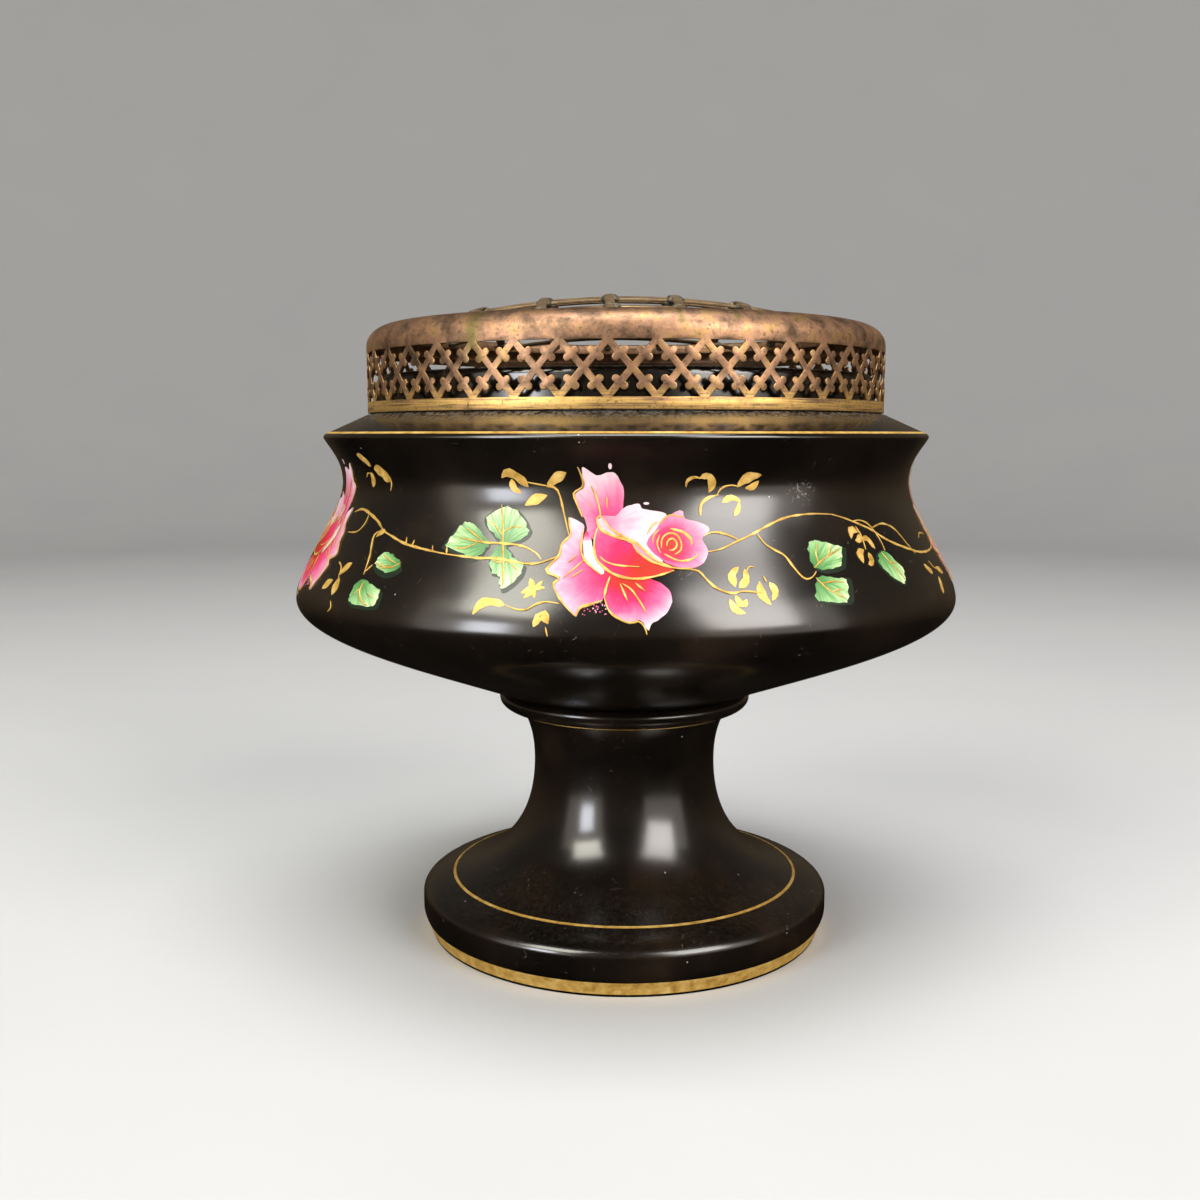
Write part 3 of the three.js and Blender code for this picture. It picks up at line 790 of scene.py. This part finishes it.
left_near_lines = (
    (0.55, [(-37.5, 101.7), (-30, 101.2), (-26, 101.3), (-20, 100.5), (-17, 100.7), (-14, 101.9)]),
    (0.5, [(-35, 105), (-29.5, 104.3), (-25, 104.2), (-21, 103.8), (-18, 102.5), (-16.8, 101.3)]),
    (0.4, [(-36.8, 101.8), (-37.2, 103)]),
    (0.4, [(-26.7, 111.8), (-25.6, 107), (-25, 104), (-24, 100), (-23.3, 96)]),
    (0.35, [(-25.4, 106.5), (-23, 107.6), (-21.4, 107.2)]),
    (0.35, [(-25.2, 105.6), (-27.2, 107.4), (-28.6, 108.6)]),
    (0.35, [(-29, 104.2), (-32, 106), (-34, 107)]),
    (0.35, [(-30.5, 104.2), (-33, 103), (-35.4, 103)]),
    (0.35, [(-24.5, 101.5), (-22.6, 100.4), (-21, 99.2)]),
    (0.35, [(-24.3, 100.6), (-25.6, 100.6), (-26.4, 101)]),
    (0.45, [(-21.5, 116.5), (-19, 116), (-16.5, 115.6), (-15, 115), (-14, 112.5), (-13.3, 110), (-12, 106)]),
    (0.45, [(-22.3, 92.7), (-20, 91.9), (-18, 92), (-17, 92.8), (-15, 93.5), (-12.5, 93.2)]),
    (0.35, [(-14.6, 88.8), (-14.2, 87)]),
)
left_near_sprigs = (
    (2.1, [(-26.8, 117.2), (-25.5, 118.3), (-23.8, 117.8), (-22.2, 116.6), (-21, 115.4)]),
    (1.7, [(-24.6, 117), (-24.2, 115.2), (-22.6, 114.3)]),
    (2.3, [(-17, 115.4), (-15.2, 117.2), (-13, 118.4)]),
    (2.2, [(-21.6, 111.8), (-19.4, 113), (-17, 113.8)]),
    (1.3, [(-19.6, 95), (-17.5, 95.9), (-15.4, 96.1)]),
    (1.3, [(-18.3, 97.8), (-17.6, 96), (-17, 94.2)]),
    (1.1, [(-19, 94.1), (-17.4, 95.6), (-16, 97.4)]),
    (1.9, [(-28, 90.6), (-26.6, 92.8), (-24.4, 93.1), (-22.3, 92.6)]),
    (2, [(-16.7, 88.8), (-15.4, 91.2), (-14.2, 89.4)]),
)
left_far_lines = (
    (0.7, [(-72.5, 108.6), (-69, 109.4), (-65, 108.8), (-60, 107.2), (-56.5, 105.2)]),
    (0.55, [(-57, 105.4), (-53, 104.4), (-48, 103.1), (-40, 102), (-37, 101.7)]),
    (0.4, [(-64.8, 108.5), (-65, 106.5), (-67, 104.6), (-71.5, 104.2)]),
    (0.55, [(-56.5, 105.3), (-58.5, 105), (-59.3, 104), (-58.5, 102), (-57.5, 100), (-56.8, 96.3)]),
    (0.4, [(-56.8, 96.8), (-55.3, 98.4)]),
    (0.4, [(-48, 103.1), (-48.5, 104.5)]),
    (0.4, [(-46.2, 102.8), (-46, 104)]),
    (0.4, [(-40.3, 102), (-40.8, 103.2)]),
    (0.4, [(-47.3, 99.4), (-50, 98.2), (-54.6, 98.8)]),
    (0.35, [(-48.6, 99.2), (-51, 99.8), (-53.4, 100.6)]),
    (0.35, [(-49.6, 98.6), (-51.6, 98), (-53, 98)]),
    (0.45, [(-55.8, 95), (-55.9, 92.8), (-54, 90.8), (-52.2, 90.4)]),
    (0.35, [(-55.6, 93.8), (-57.4, 92.2)]),
    (0.35, [(-53.4, 92.6), (-51.6, 92)]),
    (0.4, [(-58.2, 117), (-57.6, 115.4), (-58, 113.8)]),
    (0.35, [(-68.5, 116.4), (-67.6, 117.4), (-66.5, 117.4)]),
    (0.4, [(-68.5, 98), (-66.2, 97), (-65.4, 94.8)]),
    (0.4, [(-65, 90), (-64.3, 88.6), (-65.5, 87.6)]),
)
left_far_sprigs = (
    (1.9, [(-69.6, 121.4), (-67.6, 120.8), (-65, 119)]),
    (2.8, [(-64, 118.4), (-61.4, 118), (-58.2, 115.8)]),
    (2.2, [(-66.4, 117.6), (-65.4, 116.2), (-65.7, 114.4)]),
    (1.4, [(-58.4, 104), (-57.4, 105), (-56, 105.4)]),
    (1.9, [(-70.8, 92), (-69.2, 93.2), (-67.4, 94.2)]),
    (1.8, [(-66, 95.4), (-64.4, 97), (-62.8, 98.2)]),
    (2.4, [(-65.2, 95), (-65.1, 93.4), (-65.4, 91.2)]),
)
right_near_lines = (
    (0.5, [(14, 102.8), (17, 103.3), (20, 104.5), (24, 106), (28, 107.7), (32, 109), (36, 109.5),
           (40, 109.6), (45, 109.3)]),
    (0.5, [(14, 105.8), (15.5, 106.5), (18, 106.3), (21, 104.9)]),
    (0.5, [(25, 106), (26.3, 104), (28, 102.8), (29.8, 101.7), (31, 99.5), (32, 97.8), (33, 97),
           (34.5, 97.3), (35.8, 98.3)]),
    (0.5, [(9, 99.7), (12, 99.3), (13.5, 97.5), (15, 96), (17.5, 95), (20, 95.3), (23.5, 94.8)]),
    (0.7, [(11, 115.5), (11.2, 116.8), (12.5, 117.5), (14, 117.2)]),
    (0.45, [(17.5, 114), (18.5, 115.3), (20.5, 115.8), (22, 115.5)]),
    (0.7, [(13.7, 109.8), (14, 112), (15.5, 113.3), (17.8, 113.9)]),
    (0.4, [(21, 98.5), (21.8, 99.8), (22.8, 99.7)]),
    (0.35, [(24.3, 98), (24.6, 96.8)]),
    (0.4, [(35.6, 99), (38.5, 100.6), (43.6, 102.4)]),
    (0.35, [(37, 99.8), (37.2, 102), (38.4, 103.6)]),
    (0.35, [(39.6, 101), (41, 102.4), (41.4, 103.2)]),
    (0.4, [(35.2, 97.2), (37, 95), (40.6, 92.8)]),
    (0.35, [(36.2, 96), (38.6, 96.2), (41.4, 96)]),
    (0.35, [(38.2, 94.4), (40.4, 94.6)]),
)
right_near_sprigs = (
    (1.9, [(13.8, 117.4), (15.6, 117.7), (16.4, 116.2), (15.8, 114.4)]),
    (2.2, [(21.8, 115.4), (23.8, 117.2), (27, 117.8)]),
    (1.4, [(23.6, 115.2), (25.2, 115.4), (26.6, 116.6)]),
    (1.5, [(18.5, 112.4), (20.4, 113.3), (22.5, 112.6)]),
    (1.2, [(22.2, 112.6), (21.8, 111), (20.8, 109.7)]),
    (1.7, [(18.5, 96.2), (18.2, 98.4), (19.8, 99.8)]),
    (1.7, [(20.9, 99.4), (20.8, 97.4), (19.2, 96)]),
    (1.5, [(17, 94), (17.9, 92), (19.6, 91.2)]),
    (1.5, [(20.2, 93.8), (19.2, 92.6), (18.2, 94.6)]),
    (1.8, [(23.3, 97), (23.2, 94.6), (24.6, 92.6)]),
    (1.6, [(25.2, 96.8), (26, 95), (25, 93.4)]),
)
right_far_lines = (
    (0.6, [(44.5, 109.3), (48, 108.4), (52, 107), (55.5, 105.7), (58, 104.2), (61, 102.8), (65, 101.5),
           (69.5, 100.3), (73, 99.7), (78, 99.5), (84, 99.9), (88, 101)]),
    (0.4, [(50, 107.6), (52.5, 107.8), (55, 107), (56.5, 105.3), (57.3, 103), (57.2, 101.2)]),
    (0.5, [(56, 106), (60, 106.7), (63, 106.2), (65.5, 105), (67.5, 102.5), (69.5, 99.7)]),
    (0.35, [(77, 102.5), (79, 103.4), (82, 103.3), (84, 102.9)]),
    (0.35, [(55.6, 101), (57.4, 98.4), (59.4, 95.4)]),
    (0.3, [(57, 99), (59.4, 98.4)]),
    (0.35, [(75, 97.6), (76.4, 96), (78, 95.6)]),
    (0.4, [(50.6, 106.6), (51.4, 104.6), (51, 101.8)]),
)
right_far_sprigs = (
    (1.7, [(48, 104.2), (49, 106), (50.8, 105.4)]),
    (1.5, [(51, 105), (50.2, 103.8), (49, 103.8)]),
    (1.6, [(51.4, 103.8), (53, 104), (54.2, 101.8)]),
    (1.8, [(48.7, 99.2), (48.8, 101.2), (50.4, 101.8)]),
    (1.7, [(51.5, 101.2), (51.4, 99.4), (50, 98.8)]),
    (1.8, [(71.4, 97.2), (72.6, 96), (74.2, 95.2)]),
    (1.8, [(76.8, 94), (76.2, 92.2), (75.2, 90.4)]),
    (1.7, [(77.8, 95.8), (80, 95.2), (82.2, 94.4)]),
)
on_petals = 0.2
on_leaves = 0.12
rose_thinning = 0.85
drawn = laid_on(
    [stroke(rose_thinning * width, points, on_petals) for width, points in rose_lines], rose_places)
for lines, sprigs, places in (
    (left_near_lines, left_near_sprigs, front_and_back),
    (left_far_lines, left_far_sprigs, front_and_back),
    (right_near_lines, right_near_sprigs, right_near_places),
    (right_far_lines, right_far_sprigs, front_and_back),
):
    strokes = [stroke(width, points, on_leaves) for width, points in lines]
    strokes += [stroke(width, points, ends=0.1) for width, points in sprigs]
    drawn += laid_on(strokes, places)
gilt = together(drawn, "gilt_drawing")
gilt.data.materials.append(gilding)
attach(gilt, "pot")


# Brass collar: a strip of thin brass, pierced with crossed bars that each carry two pairs of small round
# knobs, closed into a ring and pressed over at the top into a round crown with a turned-down lip.
collar_radius = 63.5
brass_gauge = 0.5
collar_base = 131.0
openwork_base = 133.6
openwork_height = 11.5
openwork_top = openwork_base + openwork_height
wall_top = 146.9
crown_width = 6.2
crown_height = 4.95
lip_radius = 1.4
lip_drop = 1.3
cell_count = 40
first_cell = math.radians(-4.23)
bar_width = 1.5
knob_middle = 1.1
knob_radius = 0.85
knob_steps = 8
band_line = 1.4
low_band_row = 1.3
high_band_row = 0.9
crown_steps = 12
lip_steps = 6
cell_width = 2 * math.pi * collar_radius / cell_count
crown_top = wall_top + crown_height
crown_radius = collar_radius - crown_width


def collar_point(angle, along):
    """A point of the strip's outer face: up the wall, over the crown and down inside the lip"""
    radius = collar_radius
    height = min(along, wall_top)
    bend = along - wall_top
    if 0 < bend <= 1:
        lean = bend * math.pi / 2
        radius = crown_radius + crown_width * math.cos(lean)
        height = wall_top + crown_height * math.sin(lean)
    elif bend > 1:
        lean = min(bend, 2) * math.pi / 2
        radius = crown_radius + lip_radius * math.cos(lean)
        height = crown_top + lip_radius * (math.sin(lean) - 1) - max(bend - 2, 0) * lip_drop
    return Vector((radius * math.sin(angle), -radius * math.cos(angle), height)) * mm


def netted(columns, rows):
    """A flat net of faces with its lines at the given places"""
    across = len(columns) - 1
    up = len(rows) - 1
    piece = begun(bpy.ops.mesh.primitive_grid_add, x_subdivisions=across, y_subdivisions=up, size=1)
    for vertex in piece.data.vertices:
        column = round((vertex.co.x + 0.5) * across)
        row = round((vertex.co.y + 0.5) * up)
        vertex.co = (columns[column], rows[row], 0)
    return piece


half_cell = cell_width / 2
half_openwork = openwork_height / 2
bar_length = math.hypot(half_cell, half_openwork)
run = half_cell / bar_length
climb = half_openwork / bar_length
bar_across = bar_width / 2 / climb
bar_up = bar_width / 2 / run
middle_height = openwork_base + half_openwork


def knob(side):
    """A round knob on one side of a bar that climbs from the crossing, from its near foot to its far foot"""
    foot_angle = math.degrees(math.asin((knob_middle - bar_width / 2) / knob_radius))
    reach = 180 + 2 * foot_angle
    arc = [180 + foot_angle - step * reach / knob_steps for step in range(knob_steps + 1)]
    outline = [away((bar_length / 2, knob_middle), angle, knob_radius) for angle in arc]
    return [(along * run + side * out * climb, along * climb - side * out * run) for along, out in outline]


quarter = (
    [(0, 0), (bar_across, 0)] + knob(1) + [(half_cell, half_openwork - bar_up), (half_cell, half_openwork),
    (half_cell - bar_across, half_openwork)] + knob(-1)[::-1] + [(0, bar_up)]
)
cell = []
for side in (1, -1):
    for rise in (1, -1):
        cell.append(laid_flat([(side * across, middle_height + rise * up) for across, up in quarter]))
columns = [-half_cell, -half_cell + bar_across, -band_line, 0, band_line, half_cell - bar_across, half_cell]
crown_rows = [openwork_top, openwork_top + high_band_row]
crown_rows += [wall_top + step / crown_steps for step in range(crown_steps + 1)]
crown_rows += [wall_top + 1 + step / lip_steps for step in range(1, lip_steps + 1)]
crown_rows += [wall_top + 2.5, wall_top + 3]
cell.append(netted(columns, [collar_base, collar_base + low_band_row, openwork_base]))
cell.append(netted(columns, crown_rows))
collar = together(cell, "brass_collar")
on_all(bpy.ops.mesh.remove_doubles, threshold=1e-4)
modified(collar, "ARRAY", count=cell_count, use_relative_offset=False, use_constant_offset=True,
         constant_offset_displace=(cell_width, 0, 0), use_merge_vertices=True, merge_threshold=1e-4)
for vertex in collar.data.vertices:
    angle = first_cell + (vertex.co.x + half_cell) / collar_radius
    vertex.co = collar_point(angle, vertex.co.y)
on_all(bpy.ops.mesh.remove_doubles, threshold=1e-6)
modified(collar, "SOLIDIFY", thickness=brass_gauge * mm, offset=-1)
collar_brass, tree, shader, place = painted("aged_pressed_brass")
edge_brass_and_glint, edge_tree, edge_shader, edge_place = painted("worn_cut_brass_and_painted_glint")
collar.data.materials.append(collar_brass)
collar.data.materials.append(edge_brass_and_glint)
# The bevel's faces take the second material: worn brass that is also a painted highlight along the cut edges
modified(collar, "BEVEL", width=0.1 * mm, segments=2, limit_method="ANGLE", angle_limit=math.radians(50),
         material=1)
bpy.ops.object.shade_smooth_by_angle(angle=math.radians(35))

# Aged brass: rolled and pressed, its lacquer long gone. It gives a pinkish brown tarnish, bright yellow metal
# where the lower band is handled, drawn-out rubbing marks, dark dirt on the crown, a painted shade of dark
# brown on the inside face of the ring, and grey-green solder down the bar where the strip's ends meet.
cloud_size = 4.5 * mm
fine_size = 0.5 * mm
run_grain = 1.3 * mm
fleck_size = 0.9 * mm
grime_size = 3 * mm
where = add(tree, "SeparateXYZ", {"Vector": place})
clouds = add(tree, "TexNoise", {"Vector": place, "Scale": 1 / cloud_size, "Detail": 6, "Roughness": 0.62})
tarnish = add(tree, "ValToRGB", {"Fac": clouds}, [
    (0.3, "#65503f"), (0.42, "#93745b"), (0.53, "#b98e70"), (0.62, "#bf9866"), (0.74, "#716646")])
drawn_out = add(tree, "Mapping", {"Vector": place, "Scale": (60, 60, 2600)})
rub = add(tree, "TexNoise", {"Vector": drawn_out, "Scale": 1, "Detail": 3, "Roughness": 0.6})
low_band = add(tree, "MapRange", {
    "Value": where.outputs["Z"], "From Min": 136.2 * mm, "From Max": 133.5 * mm})
bright = add(tree, "ValToRGB", {"Fac": rub}, [(0.37, 0.0), (0.55, 1.0)])
bright_share = add(tree, "Math", {0: low_band, 1: bright}, operation="MULTIPLY")
around = angle_from_front(tree, where)
run_edge = add(tree, "TexNoise", {"Vector": place, "Scale": 1 / run_grain, "Detail": 6, "Roughness": 0.8})
flecks = add(tree, "TexNoise", {"Vector": place, "Scale": 1 / fleck_size, "Detail": 8, "Roughness": 0.8})
grime = add(tree, "TexNoise", {"Vector": place, "Scale": 1 / grime_size, "Detail": 8, "Roughness": 0.7})
coats = [(bright_share, "#f3c878")]
# Each run of solder: its place round the collar and its half width in degrees, and how low it reaches in mm
solder_runs = ((-31.3, 3.0, 137.5), (9.4, 1.0, 147.8), (21, 1.4, 148.8), (26, 0.8, 149.5))
for run_angle, run_width, run_foot in solder_runs:
    aside = add(tree, "Math", {0: around, 1: math.radians(run_angle)}, operation="SUBTRACT")
    away_from = add(tree, "Math", {0: aside}, operation="ABSOLUTE")
    near = add(tree, "MapRange", {"Value": away_from, "From Min": math.radians(run_width), "From Max": 0})
    above = add(tree, "MapRange", {
        "Value": where.outputs["Z"], "From Min": run_foot * mm, "From Max": (run_foot + 1) * mm})
    inside = add(tree, "Math", {0: near, 1: above}, operation="MULTIPLY")
    blotted = add(tree, "Math", {0: inside, 1: run_edge}, operation="MULTIPLY")
    coats.append((add(tree, "MapRange", {"Value": blotted, "From Min": 0.1, "From Max": 0.4}), "#8c7a4d"))
crown = add(tree, "MapRange", {
    "Value": where.outputs["Z"], "From Min": 149.2 * mm, "From Max": 151.6 * mm, "To Max": 0.8})
grime_share = add(tree, "MapRange", {
    "Value": grime, "From Min": 0.35, "From Max": 0.65, "To Min": 0.35, "To Max": 1})
# Painted shade: the inside face of the ring, below the crown, is darkened to dark brown as if in shade
level_place = add(tree, "CombineXYZ", {"X": where.outputs["X"], "Y": where.outputs["Y"]})
from_axis = add(tree, "VectorMath", {0: level_place}, operation="LENGTH")
painted_inside_shade = add(tree, "MapRange", {
    "Value": from_axis, "From Min": (collar_radius - 0.1) * mm, "From Max": (collar_radius - 0.4) * mm,
    "To Max": 0.8})
under_crown = add(tree, "Math", {0: where.outputs["Z"], 1: wall_top * mm}, operation="LESS_THAN")
coats += [
    (add(tree, "ValToRGB", {"Fac": flecks}, [(0.36, 0.75), (0.46, 0.0)]), "#3d3128"),
    (add(tree, "ValToRGB", {"Fac": flecks}, [(0.6, 0.0), (0.72, 0.55)]), "#a8937c"),
    (add(tree, "Math", {0: crown, 1: grime_share}, operation="MULTIPLY"), "#3f2e22"),
    (add(tree, "Math", {0: painted_inside_shade, 1: under_crown}, operation="MULTIPLY"), "#463522"),
]
coat = tarnish
for share, colour in coats:
    coat = add(tree, "Mix", {"Factor": share, 6: coat, 7: colour}, data_type="RGBA")
fine = add(tree, "TexNoise", {"Vector": place, "Scale": 1 / fine_size, "Detail": 5, "Roughness": 0.7})
dull = add(tree, "MapRange", {"Value": fine, "From Min": 0.3, "From Max": 0.7, "To Min": 0.34, "To Max": 0.6})
pitted = add(tree, "Bump", {"Height": fine, "Strength": 0.25, "Distance": 0.03 * mm})
lined = add(tree, "Bump", {"Height": rub, "Strength": 0.2, "Distance": 0.03 * mm, "Normal": pitted})
feed(shader, {"Base Color": coat, "Roughness": dull, "Normal": lined, "Metallic": 0.88})

# Cut edges of the piercing: the punch left them sharp and dusting has kept them bright, so they give a thin
# line of clean yellow brass round each bar and knob. That bright yellow is also a painted highlight, standing
# in for the glint of light along the edges.
wear_size = 4 * mm
wear = add(edge_tree, "TexNoise", {
    "Vector": edge_place, "Scale": 1 / wear_size, "Detail": 5, "Roughness": 0.7})
edge_tone_and_glint = add(edge_tree, "ValToRGB", {"Fac": wear}, [
    (0.38, "#7d5f45"), (0.55, "#c39a5c"), (0.72, "#dfba78")])
feed(edge_shader, {"Base Color": edge_tone_and_glint, "Roughness": 0.36, "Metallic": 0.92})
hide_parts("pierced_collar")
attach(collar, "grille")


# Wire dome: flattened brass wires, seven from side to side and seven laid over them from front to back,
# bent to one shallow dome and soldered inside the collar's lip and wherever they cross.
wire_width = 2.2
wire_thickness = 0.8
wire_sides = 14
wire_cuts = 47
wire_spacing = 15.0
over_wire_shift = -4.0
dome_radius = 185.0
wire_hang = 0.8
solder_bite = 0.2
lip_gap = 0.3
wire_reach = crown_radius - lip_radius - lip_gap
wire_top = crown_top - wire_hang
dome_centre = wire_top - math.sqrt(dome_radius ** 2 - wire_reach ** 2)
cross_outer = dome_radius - wire_thickness + solder_bite
wobble = random.Random(7)


def dome_height(across, along, outer):
    return dome_centre + math.sqrt(outer ** 2 - across ** 2 - along ** 2)


def bent_wire(name, offset, outer, front_to_back):
    """A wire: a rod drawn flat, cut to its place in the mouth and bent over the dome"""
    wire = rod(wire_sides, wire_cuts)
    wire.name = name
    phase = wobble.uniform(0, 2 * math.pi)
    half_length = math.sqrt(wire_reach ** 2 - offset ** 2)
    for vertex in wire.data.vertices:
        along = vertex.co.z * half_length
        sway = 0.25 * math.sin(phase + vertex.co.z * 3.1) * (1 - vertex.co.z ** 2)
        across = offset + sway + vertex.co.x * wire_width / 2
        flat = math.copysign(abs(vertex.co.y) ** 0.6, vertex.co.y)
        height = dome_height(across, along, outer - wire_thickness / 2 + flat * wire_thickness / 2)
        vertex.co = Vector((across, along, height) if front_to_back else (along, across, height)) * mm
    on_all(bpy.ops.mesh.normals_make_consistent, inside=False)
    bpy.ops.object.shade_smooth_by_angle(angle=math.radians(50))
    return wire


# Aged brass wire: hard-drawn and rolled flat. It gives a brown tarnish, paler where it is rubbed
# and grey-green where solder and flux have run along it.
wire_brass, tree, shader, place = painted("aged_brass_wire")
stain_size = 5 * mm
scratch_size = 0.4 * mm
stain = add(tree, "TexNoise", {"Vector": place, "Scale": 1 / stain_size, "Detail": 7, "Roughness": 0.65})
wire_tone = add(tree, "ValToRGB", {"Fac": stain}, [
    (0.32, "#5a4836"), (0.46, "#91775a"), (0.6, "#a88f6b"), (0.75, "#868069")])
scratch = add(tree, "TexNoise", {"Vector": place, "Scale": 1 / scratch_size, "Detail": 5, "Roughness": 0.7})
wire_dull = add(tree, "MapRange", {
    "Value": scratch, "From Min": 0.3, "From Max": 0.7, "To Min": 0.34, "To Max": 0.6})
wire_bump = add(tree, "Bump", {"Height": scratch, "Strength": 0.35, "Distance": 0.05 * mm})
feed(shader, {"Base Color": wire_tone, "Roughness": wire_dull, "Normal": wire_bump, "Metallic": 0.88})

cross_offsets = [step * wire_spacing for step in range(-3, 4)]
over_offsets = [over_wire_shift + step * wire_spacing for step in range(-3, 4)]
wires = []
for order, offset in enumerate(cross_offsets):
    wire = bent_wire(f"brass_cross_wire_{order + 1}", offset, cross_outer, False)
    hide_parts(f"cross_wire_{order + 1}")
    wires.append(wire)
for order, offset in enumerate(over_offsets):
    wire = bent_wire(f"brass_over_wire_{order + 1}", offset, dome_radius, True)
    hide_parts(f"over_wire_{order + 1}")
    wires.append(wire)
for wire in wires:
    wire.data.materials.append(wire_brass)
    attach(wire, "grille")


# Solder: a lump of soft solder runs into each crossing of the wires, and one holds each wire's end inside
# the collar's lip. It was melted on with an iron and left as it set.
crossing_size = (3.6, 4.6)
crossing_depth = 2.1
crossing_sink = 0.15
crossing_shift = 0.4
clear_of_lip = 2
below_top = 0.02
end_size = (2.5, 3.3)
end_depth = 1.6
end_lift = 0.3
end_place = 0.985


def lump(place, width, depth):
    """A small uneven lump round a place, wide and flat"""
    drop = begun(bpy.ops.mesh.primitive_uv_sphere_add, segments=9, ring_count=6, radius=1, location=(0, 0, 0))
    lean = wobble.uniform(0, 2 * math.pi)
    for vertex in drop.data.vertices:
        swell = 1 + 0.16 * math.sin(3 * math.atan2(vertex.co.y, vertex.co.x) + lean)
        across = vertex.co.xy * width / 2 * swell
        vertex.co = (Vector(place) + Vector((across.x, across.y, vertex.co.z * depth / 2))) * mm
    return drop


lumps = []
for over_offset in over_offsets:
    for cross_offset in cross_offsets:
        if math.hypot(over_offset, cross_offset) < wire_reach - clear_of_lip:
            size = wobble.uniform(*crossing_size)
            middle = dome_height(over_offset, cross_offset, dome_radius - wire_thickness - crossing_sink)
            place = (over_offset + wobble.uniform(-crossing_shift, crossing_shift), cross_offset, middle)
            lumps.append(lump(place, size, crossing_depth))
for offsets, outer, lift, front_to_back in (
    (over_offsets, dome_radius, 0, True),
    (cross_offsets, cross_outer, end_lift, False),
):
    for offset in offsets:
        for end in (-1, 1):
            along = end * math.sqrt(wire_reach ** 2 - offset ** 2) * end_place
            middle = dome_height(offset, along, outer - wire_thickness / 2) + lift
            place = (offset, along, middle) if front_to_back else (along, offset, middle)
            lumps.append(lump(place, wobble.uniform(*end_size), end_depth))
solder_lumps = together(lumps, "solder_lumps")
for vertex in solder_lumps.data.vertices:
    vertex.co.z = min(vertex.co.z, solid_box[1][2] - below_top * mm)
bpy.ops.object.shade_smooth()

# Soft solder: tin and lead, long oxidised. It gives dull grey-brown lumps with a faint metal sheen where
# they are rubbed.
solder, tree, shader, place = painted("oxidised_soft_solder")
crust_size = 1.2 * mm
crust = add(tree, "TexNoise", {"Vector": place, "Scale": 1 / crust_size, "Detail": 6, "Roughness": 0.7})
crust_tone = add(tree, "ValToRGB", {"Fac": crust}, [(0.34, "#4b443a"), (0.52, "#7a705f"), (0.7, "#a2967f")])
crust_bump = add(tree, "Bump", {"Height": crust, "Strength": 0.5, "Distance": 0.15 * mm})
feed(shader, {"Base Color": crust_tone, "Normal": crust_bump, "Metallic": 0.6, "Roughness": 0.5})
solder_lumps.data.materials.append(solder)
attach(solder_lumps, "grille")
